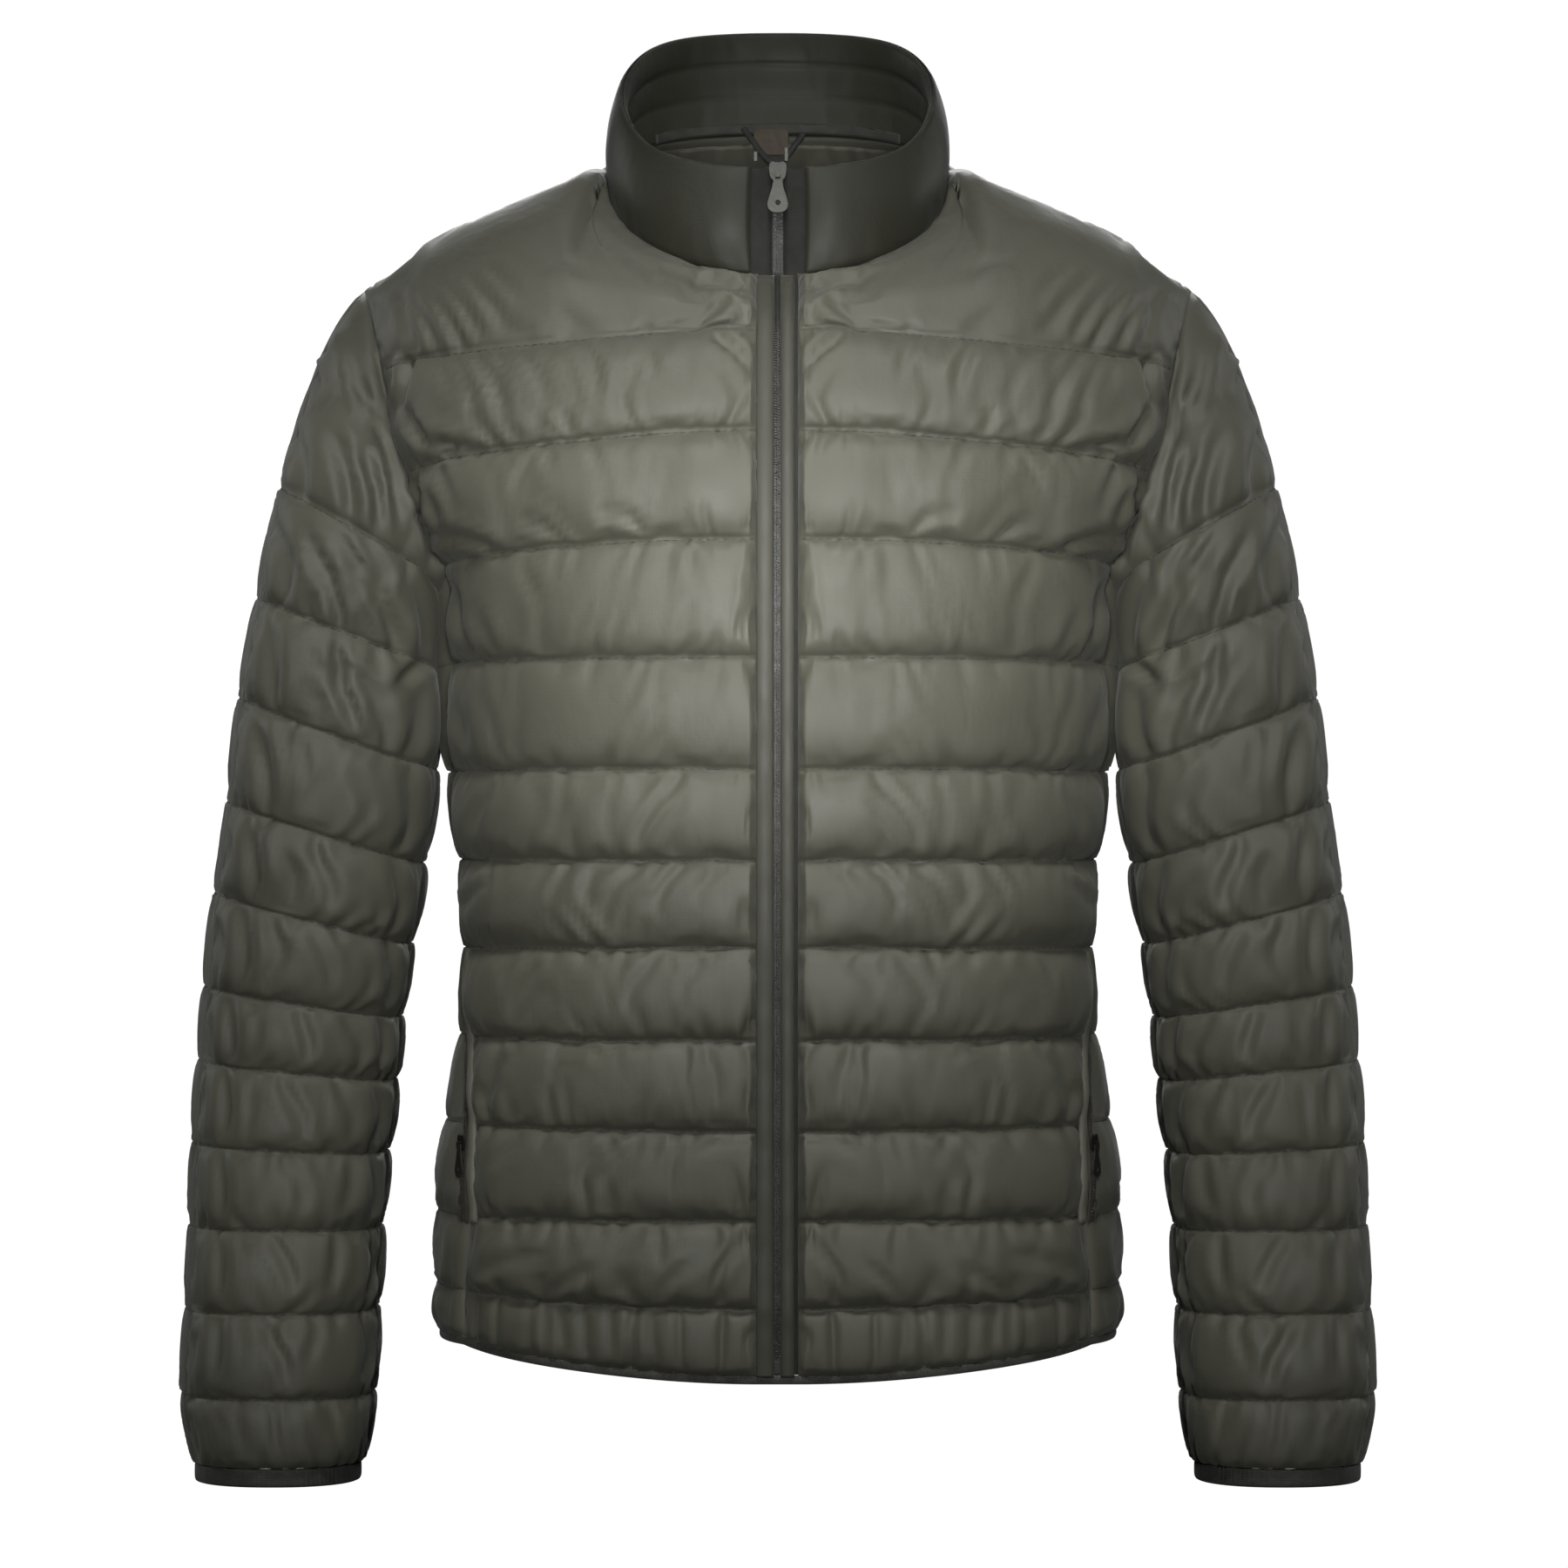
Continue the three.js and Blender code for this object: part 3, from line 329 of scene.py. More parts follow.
def troughs(px, py, rows):
    """Soft troughs with raised shoulders. Each row: x0, y0, x1, y1, half width, depth in mm."""
    d = np.zeros_like(px)
    for x0, y0, x1, y1, w, depth in rows:
        ex, ey, w = x1 - x0, y1 - y0, max(w, 6.4)
        n = math.hypot(ex, ey)
        ex, ey = ex / n, ey / n
        t = (px - x0) * ex + (py - y0) * ey
        s = (px - x0) * -ey + (py - y0) * ex
        s = s + 0.06 * n * np.sin(np.clip(t / n, 0, 1) * np.pi)
        along = ease((t + 0.12 * n) / (0.35 * n)) * ease((1.12 * n - t) / (0.35 * n))
        d += along * depth * (-np.exp(-((s / w) ** 2)) + 0.55 * np.exp(-(((s - 1.9 * w) / w) ** 2)) + 0.55 * np.exp(-(((s + 1.9 * w) / w) ** 2)))
    return d


# creases of the front of body and sleeves, in the same steps
FRONT_CREASES = [
    # yoke, beside the armhole
    (484, 350, 509, 400, 5, 1.5), (501, 343, 536, 402, 5.5, 1.8), (516, 334, 555, 392, 5.5, 1.5), (540, 330, 580, 372, 6, 0.9),
    (466, 340, 478, 392, 5, 1.0), (640, 308, 672, 330, 6, 0.7), (566, 322, 600, 350, 6, 0.7),
    # yoke, beside the zip
    (796, 334, 858, 352, 5, 1.2), (783, 304, 852, 318, 5, 1.1), (812, 362, 862, 374, 5, 0.8), (760, 320, 800, 332, 6, 0.6),
    # first baffle
    (512, 424, 540, 466, 5, 1.2), (526, 412, 556, 476, 5.5, 1.8), (546, 408, 590, 478, 5.5, 1.9), (568, 408, 592, 444, 5, 1.0),
    (670, 398, 692, 456, 5.5, 1.3), (612, 418, 632, 458, 5, 0.8), (549, 484, 580, 513, 4.5, 1.2), (576, 484, 602, 508, 4.5, 1.0),
    (640, 470, 660, 500, 5, 0.6), (818, 394, 868, 432, 5, 1.8), (806, 420, 846, 450, 5.5, 0.9), (740, 402, 756, 436, 6, 0.6),
    # pucker at the armhole end of the first baffles
    (474, 412, 468, 466, 5, 2.4), (476, 474, 500, 512, 5, 2.2), (506, 520, 545, 510, 6, 2.2), (500, 500, 532, 522, 5, 1.6),
    (482, 548, 492, 592, 5, 2.0), (500, 560, 520, 600, 6, 1.0), (498, 610, 580, 628, 7, 1.6), (512, 540, 530, 575, 6, 0.9),
    # second to fourth
    (622, 506, 640, 540, 6, 0.7), (672, 506, 690, 532, 6, 0.6), (600, 596, 640, 612, 7, 0.7), (690, 590, 740, 604, 7, 0.5),
    (668, 735, 690, 700, 4.5, 0.8), (684, 740, 708, 700, 4.5, 0.9), (702, 742, 724, 706, 4.5, 0.8), (560, 700, 576, 742, 7, 1.0),
    (530, 660, 545, 730, 7, 1.1), (780, 730, 800, 704, 5, 0.5), (606, 652, 630, 690, 7, 0.5),
    (722, 868, 766, 806, 4.5, 0.9), (738, 872, 772, 830, 4.5, 0.8), (600, 860, 616, 820, 6, 0.6), (536, 800, 552, 860, 7, 0.9),
    (732, 966, 788, 890, 4.5, 0.9), (750, 968, 792, 918, 4.5, 0.8), (640, 960, 660, 926, 5, 0.5), (560, 950, 580, 905, 6, 0.8),
    (700, 1040, 736, 992, 4.5, 0.8), (756, 1036, 790, 990, 4.5, 0.9), (546, 1044, 580, 1010, 5, 0.9), (640, 1030, 662, 998, 5, 0.6),
    (676, 1030, 692, 1000, 4, 0.6), (800, 1030, 826, 996, 5, 0.5), (722, 1150, 760, 1100, 5, 0.7), (780, 1140, 810, 1104, 5, 0.5),
    (600, 1150, 630, 1110, 6, 0.6), (570, 1290, 590, 1215, 8, 1.1), (640, 1200, 700, 1212, 6, 0.5), (560, 1260, 600, 1250, 6, 0.6),
    (670, 1350, 712, 1310, 5, 0.7), (700, 1350, 740, 1318, 5, 0.6), (570, 1340, 600, 1318, 6, 0.7), (790, 1330, 840, 1310, 6, 0.6),
    (560, 1460, 640, 1440, 7, 0.8), (640, 1480, 700, 1452, 6, 0.7), (760, 1480, 800, 1448, 6, 0.6), (700, 1440, 760, 1412, 6, 0.5),
    (560, 1420, 600, 1408, 6, 0.6), (820, 1470, 850, 1430, 5, 0.6),
]
SLEEVE_CREASES = [
    (402, 380, 420, 470, 7, 1.5), (430, 400, 440, 470, 6, 1.3), (380, 390, 388, 450, 7, 1.1), (404, 438, 436, 482, 5, 1.4), (360, 410, 372, 452, 6, 0.9),
    (350, 500, 352, 575, 8, 1.6), (382, 488, 404, 600, 7, 1.6), (412, 520, 434, 612, 6, 1.8), (430, 492, 452, 606, 6, 1.3), (462, 516, 484, 600, 6, 1.6),
    (468, 560, 500, 640, 6, 1.4),
    (358, 618, 392, 726, 6, 2.0), (394, 622, 448, 748, 6, 2.2), (414, 618, 436, 680, 5, 1.4), (328, 600, 336, 692, 8, 1.5), (454, 640, 470, 752, 7, 1.3),
    (384, 740, 392, 792, 6, 1.5), (372, 762, 408, 838, 6, 1.4), (392, 764, 428, 800, 5, 1.2), (440, 790, 470, 760, 5, 1.2), (316, 716, 320, 806, 8, 1.5),
    (420, 800, 440, 862, 6, 1.0), (450, 768, 462, 866, 8, 1.2),
    (346, 850, 352, 900, 6, 0.9), (334, 846, 330, 930, 5, 0.8), (300, 830, 316, 930, 8, 1.8), (400, 880, 420, 940, 7, 0.8), (452, 880, 458, 970, 8, 1.3),
    (290, 940, 300, 1024, 8, 1.4), (360, 970, 380, 1040, 7, 0.8), (330, 980, 340, 1034, 6, 0.7), (442, 990, 446, 1066, 8, 1.2), (400, 1000, 430, 1056, 6, 0.7),
    (282, 1042, 286, 1128, 8, 1.3), (350, 1060, 380, 1130, 7, 0.8), (310, 1060, 330, 1100, 6, 0.6), (436, 1080, 438, 1152, 8, 1.1),
    (268, 1146, 272, 1214, 7, 1.1), (340, 1160, 356, 1214, 7, 0.7), (390, 1170, 410, 1222, 6, 0.7), (428, 1170, 428, 1224, 7, 1.0),
    (262, 1228, 266, 1300, 7, 1.0), (320, 1240, 350, 1300, 7, 0.7), (380, 1240, 400, 1300, 6, 0.7), (424, 1246, 424, 1308, 7, 1.0),
    (258, 1320, 262, 1394, 7, 1.0), (330, 1330, 350, 1390, 7, 0.6), (396, 1330, 384, 1390, 6, 0.6), (420, 1330, 420, 1394, 7, 1.0),
    (256, 1412, 260, 1486, 7, 1.0), (310, 1420, 340, 1480, 7, 0.7), (380, 1420, 370, 1480, 6, 0.7), (418, 1420, 416, 1486, 7, 1.0),
    (252, 1506, 256, 1580, 7, 1.0), (300, 1520, 330, 1580, 7, 0.8), (360, 1510, 350, 1560, 6, 0.7), (410, 1510, 410, 1580, 7, 1.0),
]


def scattered(s, t, high, seed, density, depth, lean=0.35, reach=(0.25, 0.7)):
    """Short puckers that start at the stitching: s across in mm, t up from the lower line in mm, high the baffle's height."""
    rng = np.random.default_rng(seed)
    lo, hi = float(s.min()), float(s.max())
    h = float(np.median(high))
    d = np.zeros_like(s)
    for _ in range(int((hi - lo) * density)):
        x0, up = rng.uniform(lo, hi), rng.random() < 0.6
        ln = h * rng.uniform(*reach)
        dx = ln * rng.normal(0, lean)
        w, a = rng.uniform(1.9, 3.4), depth * rng.uniform(0.4, 1.0)
        y = t if not up else high - t
        k = np.clip(y / ln, 0, 1)
        c = x0 + dx * k
        fade = (1 - ease(y / ln)) * np.minimum(1, y / 1.5 + 0.35)
        q = (s - c) / (w * (1 + 0.8 * k))
        d += a * fade * (0.45 * np.exp(-((q - 1.9) ** 2)) - np.exp(-(q**2)) + 0.45 * np.exp(-((q + 1.9) ** 2)))
    return d


def smooth_noise(shape, seed, passes):
    """Seeded noise smoothed over the grid, from -1 to 1."""
    rng = np.random.default_rng(seed)
    n = rng.normal(size=shape)
    for _ in range(passes):
        n = (np.roll(n, 1, 0) + np.roll(n, -1, 0) + np.roll(n, 1, 1) + np.roll(n, -1, 1) + 2 * n) / 6
    return n / np.abs(n).max()


# ------------------------------------------------------------------ panels
def profile(f):
    f = np.clip(f, 0, 1) ** 0.86
    return np.maximum(0, 1 - np.abs(2 * f - 1) ** 2.6) ** 0.55


def soft(d, reach, power=0.6):
    return np.clip(d / reach, 0, 1) ** power * (1 - 0.0 * d)


class Panel:
    def __init__(self, name, us, vs, at, sign=1):
        self.name = name
        self.u, self.v = np.meshgrid(us, vs)
        self.p = at(self.u, self.v)
        du, dv = np.gradient(self.p, axis=1), np.gradient(self.p, axis=0)
        self.n = unit(np.cross(du, dv)) * sign
        step = np.linalg.norm(np.diff(self.p, axis=1), axis=-1)
        self.s = np.concatenate([np.zeros((len(vs), 1)), np.cumsum(step, 1)], 1)
        self.d0, self.d1 = self.s, self.s[:, -1:] - self.s
        up = np.linalg.norm(np.diff(self.p, axis=0), axis=-1)
        self.t = np.concatenate([np.zeros((1, len(us))), np.cumsum(up, 0)], 0)
        self.px, self.py = picture(self.p)
        self.facing = -self.n[..., 1]
        self.pin = np.zeros(self.u.shape, bool)
        self.pin[0], self.pin[-1], self.pin[:, 0], self.pin[:, -1] = True, True, True, True
        self.out = np.zeros(self.u.shape)
        self.mask = np.ones(self.u.shape)
        self.thick = np.minimum(1, 0.3 + 0.7 * np.minimum.reduce([self.d0, self.d1, self.t, self.t[-1:] - self.t]) / 4)

    def rows(self, lines):
        """Row index of each quilting line."""
        return [int(np.argmin(np.abs(self.v[:, 0] - k))) for k in lines]

    def baffles(self, lines, seed, density, depth, **kw):
        """Scattered puckers, baffle by baffle."""
        at = self.rows(lines)
        for k, (a, b) in enumerate(zip(at[:-1], at[1:])):
            t = self.t[a : b + 1] - self.t[a]
            self.out[a : b + 1] += scattered(self.s[a : b + 1] + 0 * t, t, t[-1:] + 0 * t, seed * 100 + k, density, depth, **kw)

    def quilt(self, lines):
        for r in self.rows(lines):
            self.pin[r] = True


def line_rows(a, b, each, last=None):
    f = np.arange(each) / each
    f = f - 0.085 * np.sin(2 * np.pi * f)
    v = [a + k + x for k in range(int(round(b - a))) for x in f] + [b]
    return np.array(v, float)


def stretch(n, power=1.0):
    """0 to 1 with closer samples at both ends."""
    x = np.linspace(0, 1, n)
    return x - 0.07 * np.sin(2 * np.pi * x) / (1) * power


EACH = 15
BODY_V = np.concatenate([line_rows(0, 11, EACH), np.linspace(11, 12, 49)[1:]])
panels = {}


def gathers(p, rows, wave, amp, seed):
    """Upright gathers over a narrow band, uneven."""
    a, b = rows
    s = p.s[a : b + 1]
    rng = np.random.default_rng(seed)
    ph = np.cumsum(rng.uniform(0.6, 1.5, 400)) * wave
    g = np.zeros_like(s)
    for k, c in enumerate(ph[ph < s.max() + wave]):
        w = wave * rng.uniform(0.16, 0.3)
        lean = rng.normal(0, 0.12) * wave
        f = np.linspace(0, 1, b - a + 1)[:, None]
        top = rng.uniform(0.45, 1.1)
        g -= amp * rng.uniform(0.5, 1.1) * np.exp(-(((s - c - lean * f) / w) ** 2)) * (1 - ease((f - top) / 0.4)) * ease(f / 0.12 + 0.3)
    p.out[a : b + 1] += g


def build_front():
    p = Panel("front", stretch(96), BODY_V, front, 1)
    f = p.v - np.floor(p.v + 1e-6)
    e = soft(p.d0, 3.5, 0.45) * mix(soft(p.d1, 24, 0.7), soft(p.d1, 44, 1.0), ease((p.v - 9) / 2))
    amp = np.where(p.v < 1, PUFF_HEM, PUFF_BODY)
    body = amp * e * profile(f)
    t = p.v - 11
    top = PUFF_BODY * e * np.minimum(np.clip(t / 0.2, 0, 1) ** 0.55, ease((1 - t) / 0.3) ** 0.6)
    p.out += np.where(p.v > 11, top, body)
    p.out += 1.2 * smooth_noise(p.u.shape, 11, 40) * e * np.where(p.v > 11, 1, profile(f))
    show = ease((p.facing - 0.1) / 0.3)
    p.out += 2.3 * troughs(p.px, p.py, FRONT_CREASES) * show * np.minimum(1, np.minimum(p.d0, p.d1) / 3)
    p.baffles(range(1, 12), 1, 0.08, 1.4)
    gathers(p, (p.rows([0])[0], p.rows([1])[0]), 15, 2.4, 5)
    gathers(p, (p.rows([1])[0], p.rows([1.35])[0]), 22, 1.3, 6)
    p.quilt(range(0, 12))
    return p


def build_side():
    p = Panel("side", np.linspace(0, 1, 30), line_rows(0, 9, EACH), side, 1)
    f = p.v - np.floor(p.v + 1e-6)
    e = soft(p.d0, 14) * soft(p.d1, 14)
    amp = np.where(p.v < 1, PUFF_HEM, PUFF_SIDE) * np.where(p.v > 6, 1.4, 1) * np.where(p.v > 8, 0.7, 1)
    p.out += amp * e * profile(f)
    p.out += 7.5 * np.exp(-(((p.p[..., 2] + 272) / 62) ** 2)) * e
    p.baffles(range(1, 9), 2, 0.07, 0.6)
    gathers(p, (0, p.rows([1])[0]), 15, 1.2, 7)
    p.quilt(range(0, 10))
    p.mask *= ease((9 - p.v) / 2)
    return p


def build_back():
    half = stretch(150)
    us = 2 * half - 1
    p = Panel("back", us, BODY_V, back, -1)
    f = p.v - np.floor(p.v + 1e-6)
    far = mix(soft(np.minimum(p.d0, p.d1), 24, 0.7), soft(np.minimum(p.d0, p.d1), 44, 1.0), ease((p.v - 9) / 2))
    e = far
    amp = np.where(p.v < 1, PUFF_HEM, PUFF_BODY)
    t = p.v - 11
    top = PUFF_BODY * e * np.minimum(np.clip(t / 0.2, 0, 1) ** 0.55, ease((1 - t) / 0.3) ** 0.6)
    p.out += np.where(p.v > 11, top, amp * e * profile(f))
    p.out += 1.2 * smooth_noise(p.u.shape, 12, 40) * e * np.where(p.v > 11, 1, profile(f))
    p.out += 1.4 * troughs(p.px, p.py, FRONT_CREASES[::2]) * ease((-p.facing - 0.1) / 0.3) * np.minimum(1, np.minimum(p.d0, p.d1) / 3)
    p.baffles(range(1, 12), 3, 0.08, 1.4)
    gathers(p, (0, p.rows([1])[0]), 15, 1.5, 8)
    p.quilt(range(0, 12))
    return p


def build_sleeve(name, w0, w1, seed):
    p = Panel(name, mix(w0, w1, stretch(72)), np.concatenate([np.linspace(0, 1, 19)[:-1], line_rows(1, 12, EACH)]), sleeve, 1)
    f = p.v - np.floor(p.v + 1e-6)
    over, below = (p.d0, p.d1) if w0 == 0 else (p.d1, p.d0)
    e = soft(over, 26 if w0 == 0 else 80, 1.0) * soft(below, 38, 0.9)
    under = np.exp(-(((p.u - 0.47) / 0.13) ** 2))
    press = 1 - 0.5 * under * np.clip((4 - p.v) / 2, 0, 1)
    p.out += 3.5 * np.exp(-(((p.u - 0.42) / 0.12) ** 2)) * np.exp(-(((p.v - 2.5) / 0.8) ** 2)) * e
    p.out += 6.5 * np.exp(-(((p.p[..., 2] + 272) / 66) ** 2)) * np.exp(-(((p.u - 0.44) / 0.12) ** 2)) * soft(below, 9, 0.8)
    away = np.minimum(p.u, 1 - p.u)
    first = 0.5 * np.maximum(0, 1 - (away / 0.27) ** 2)
    lower = (p.v - first) / np.maximum(1 - first, 0.05)
    upper = p.v / np.maximum(first, 0.02)
    tt = np.where(p.v < first, upper, lower)
    cap = np.where(first > 0.05, 0.8, 0.5)
    p.out += np.where(p.v < 1, PUFF_SLEEVE * cap * e * press * profile(tt) * ease(p.v * 3.5 + 0.05), np.where(p.v > 11, 5, PUFF_SLEEVE) * e * press * profile(f))
    p.out += 1.0 * smooth_noise(p.u.shape, seed + 20, 40) * e * press * np.where(p.v < 1, profile(tt), profile(f))
    show = ease((p.facing - 0.05) / 0.3)
    p.out += 2.4 * troughs(p.px, p.py, SLEEVE_CREASES) * show * np.minimum(1, np.minimum(p.d0, p.d1) / 3)
    hidden = ease((-p.facing - 0.05) / 0.3)
    p.out += 1.4 * troughs(p.px, p.py, SLEEVE_CREASES[1::2]) * hidden * np.minimum(1, np.minimum(p.d0, p.d1) / 3)
    p.baffles(range(1, 13), seed, 0.08, 1.6)
    r = p.rows([11])[0]
    gathers(p, (r, p.u.shape[0] - 1), 13, 1.3, seed + 5)
    p.quilt(range(1, 13))
    near_first = np.abs(p.v - first) * np.linalg.norm(sleeve(p.u, 1.0 + 0 * p.v) - sleeve(p.u, 0.0 + 0 * p.v), axis=-1)
    p.mask *= np.where((p.v < 1) & (first > 0.03), ease(near_first / 9), 1)
    p.mask *= 1 - under * np.clip((4 - p.v) / 2, 0, 1)
    p.mask *= np.where(p.v < 1, ease(p.v * 4), 1) * (1 if w0 == 0 else ease(over / 40))
    return p


for made in (build_front(), build_side(), build_back(), build_sleeve("sleeve_front", 0.0, UNDERARM, 30), build_sleeve("sleeve_back", UNDERARM, 1.0, 60)):
    panels[made.name] = made


# ------------------------------------------------------------------ the padding swells between its stitching
def swell(parts, frames=9):
    pts, faces, pins, base = [], [], [], 0
    for p in parts:
        m, n = p.u.shape
        q = (p.p + p.n * (p.out + p.thick)[..., None]) * MM
        pts.append(q.reshape(-1, 3))
        i = base + np.arange(m * n).reshape(m, n)
        quad = np.stack([i[:-1, :-1], i[:-1, 1:], i[1:, 1:], i[1:, :-1]], -1).reshape(-1, 4)
        if p.name == "back":
            quad = quad[:, ::-1]
        faces.append(quad)
        pins.append(base + np.flatnonzero(p.pin.ravel()))
        base += m * n
    pts, faces, pins = np.concatenate(pts), np.concatenate(faces), np.concatenate(pins)
    mesh = bpy.data.meshes.new("swelling")
    mesh.from_pydata(pts.tolist(), [], faces.tolist())
    ob = bpy.data.objects.new("swelling", mesh)
    bpy.context.scene.collection.objects.link(ob)
    group = ob.vertex_groups.new(name="pin")
    group.add([int(i) for i in pins], 1.0, "REPLACE")
    mod = ob.modifiers.new("Cloth", "CLOTH")
    s = mod.settings
    s.quality = 3
    s.mass = 0.2
    s.tension_stiffness = s.compression_stiffness = 12
    s.shear_stiffness = 5
    s.bending_stiffness = 0.12
    s.tension_damping = s.compression_damping = s.shear_damping = 6
    s.bending_damping = 0.5
    s.air_damping = 3
    s.use_pressure = True
    s.uniform_pressure_force = 3.0
    s.shrink_min = -0.05
    s.vertex_group_mass = "pin"
    s.effector_weights.gravity = 0
    mod.collision_settings.use_collision = False
    mod.collision_settings.use_self_collision = False
    mod.point_cache.frame_start, mod.point_cache.frame_end = 1, frames
    scene = bpy.context.scene
    for f in range(1, frames + 1):
        scene.frame_set(f)
    dg = bpy.context.evaluated_depsgraph_get()
    ev = ob.evaluated_get(dg).to_mesh()
    co = np.empty(len(ev.vertices) * 3)
    ev.vertices.foreach_get("co", co)
    moved = (co.reshape(-1, 3) - pts) / MM
    scene.frame_set(1)
    bpy.data.objects.remove(ob)
    base = 0
    for p in parts:
        m, n = p.u.shape
        d = moved[base : base + m * n].reshape(m, n, 3)
        base += m * n
        size = np.linalg.norm(d, axis=-1, keepdims=True)
        print("swell", p.name, "mean %.2f max %.2f mm" % (size.mean(), size.max()))
        limit = 2.2
        d = 0.85 * d * (limit * np.tanh(size / limit) / np.maximum(size, 1e-6)) * p.mask[..., None]
        p.moved = d


for p in panels.values():
    p.moved = np.zeros(p.p.shape)
swell(list(panels.values()))


# ------------------------------------------------------------------ meshes
def object_of(name, pts, faces, mirrored=False, smooth=True):
    pts = np.asarray(pts, float).reshape(-1, 3) * MM
    faces = [list(f) for f in faces]
    if mirrored:
        pts = pts * [-1, 1, 1]
    tri = np.array([(f[0], f[k], f[k + 1]) for f in faces for k in range(1, len(f) - 1)])
    a, b, c = pts[tri[:, 0]], pts[tri[:, 1]], pts[tri[:, 2]]
    if (a * np.cross(b, c)).sum() < 0:
        faces = [f[::-1] for f in faces]
    mesh = bpy.data.meshes.new(name)
    mesh.from_pydata(pts.tolist(), [], faces)
    if smooth:
        mesh.polygons.foreach_set("use_smooth", [True] * len(mesh.polygons))
    mesh.update()
    ob = bpy.data.objects.new(name, mesh)
    bpy.context.scene.collection.objects.link(ob)
    return ob


def two_sided(outer, inner):
    """A closed wall between two grids of the same size."""
    m, n = outer.shape[:2]
    pts = np.concatenate([outer.reshape(-1, 3), inner.reshape(-1, 3)])
    i = np.arange(m * n).reshape(m, n)
    j = i + m * n
    faces = np.stack([i[:-1, :-1], i[:-1, 1:], i[1:, 1:], i[1:, :-1]], -1).reshape(-1, 4).tolist()
    faces += np.stack([j[:-1, :-1], j[1:, :-1], j[1:, 1:], j[:-1, 1:]], -1).reshape(-1, 4).tolist()
    loop = np.concatenate([i[0, :-1], i[:-1, -1], i[-1, :0:-1], i[:0:-1, 0]])
    nxt = np.roll(loop, -1)
    faces += np.stack([loop, loop + m * n, nxt + m * n, nxt], -1).tolist()
    return pts, faces


def ring_tube(rows):
    """A closed tube from sections, itself closed into a ring: rows is (around, section, 3)."""
    m, n = rows.shape[:2]
    i = np.arange(m * n).reshape(m, n)
    a, b = np.roll(i, -1, 0), np.roll(i, -1, 1)
    c = np.roll(a, -1, 1)
    return rows.reshape(-1, 3), np.stack([i, b, c, a], -1).reshape(-1, 4).tolist()


def open_tube(rows):
    """A tube from sections with closed ends: rows is (along, section, 3)."""
    m, n = rows.shape[:2]
    i = np.arange(m * n).reshape(m, n)
    b = np.roll(i, -1, 1)
    faces = np.stack([i[:-1], b[:-1], b[1:], i[1:]], -1).reshape(-1, 4).tolist()
    return rows.reshape(-1, 3), faces + [i[0, ::-1].tolist(), i[-1].tolist()]


def boxes(centres, xs, ys, zs, size):
    """Many small rounded bars in one mesh. size is (a, b, c) half sizes in mm along the given directions."""
    corner = []
    for sx in (-1, 1):
        for sy in (-1, 1):
            for sz in (-1, 1):
                corner.append((sx, sy, sz))
    pts, faces = [], []
    q = [(0, 1, 3, 2), (4, 6, 7, 5), (0, 4, 5, 1), (2, 3, 7, 6), (0, 2, 6, 4), (1, 5, 7, 3)]
    for c, x, y, z in zip(centres, xs, ys, zs):
        base = len(pts)
        for sx, sy, sz in corner:
            k = 0.75 if sz > 0 else 1.0
            pts.append(c + x * size[0] * sx * k + y * size[1] * sy * k + z * size[2] * sz)
        faces += [tuple(base + i for i in f) for f in q]
    return np.array(pts), faces


def both(name, pts, faces, node=None):
    made = []
    for sfx, flip in (("l", False), ("r", True)):
        ob = object_of(f"{name}_cloth_{sfx}" if node else f"{name}_{sfx}", pts, faces, flip)
        if node:
            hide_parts(f"{node}_{sfx}")
        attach(ob, "jacket")
        made.append(ob)
    return made


parts = {}


def cloth(ob):
    """Computes the piece's loop triangles. What shows of its cut is half its closed surface."""
    me = ob.data
    me.calc_loop_triangles()


def walls(p, lining=1.0):
    outer = p.p + p.n * (p.out + p.thick)[..., None] + p.moved
    puff = np.clip(p.out / 9, 0, 1)
    inner = p.p - p.n * (p.thick * (0.9 + lining * puff))[..., None]
    return two_sided(outer, inner)


for key in ("front", "side", "sleeve_front", "sleeve_back"):
    for ob in both(key, *walls(panels[key]), node=key):
        parts[ob.name] = ob
ob = object_of("back_cloth", *walls(panels["back"]))
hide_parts("back")
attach(ob, "jacket")
parts[ob.name] = ob


# ------------------------------------------------------------------ stitches along the quilting lines, in a dark thread that also paints the shade of the valleys between baffles
def stitches(p, lines, pitch=4.6, length=3.7, half=0.42):
    """One small spindle for each stitch, lying in the valley between two baffles."""
    outer = p.p + p.n * (p.out + p.thick)[..., None] + p.moved
    rows = []
    for r in p.rows(lines):
        line, n = outer[r], p.n[r]
        s = np.concatenate([[0], np.cumsum(np.linalg.norm(np.diff(line, axis=0), axis=1))])
        at = np.arange(1.5, s[-1] - length - 1, pitch)[:, None] + np.array([0, 0.5, 1.0]) * length
        q = np.stack([np.interp(at, s, line[:, k]) for k in range(3)], -1)
        m = unit(np.stack([np.interp(at, s, n[:, k]) for k in range(3)], -1))
        d = unit(q[:, 2:] - q[:, :1] + 0 * q)
        w = np.cross(d, m)
        size = np.array([0.45, 1.0, 0.45])[:, None] * half
        lift = m * np.array([0.0, 0.22, 0.0])[:, None]
        rows.append(np.stack([q + lift + w * size, q + lift + m * size, q + lift - w * size, q + lift - m * size], 2))
    rows = np.concatenate(rows)
    i = np.arange(len(rows) * 12).reshape(-1, 3, 4)
    b = np.roll(i, -1, 2)
    sides = np.stack([i[:, :-1], b[:, :-1], b[:, 1:], i[:, 1:]], -1).reshape(-1, 4)
    return rows.reshape(-1, 3), np.concatenate([sides, i[:, 0, ::-1], i[:, 2]]).tolist()


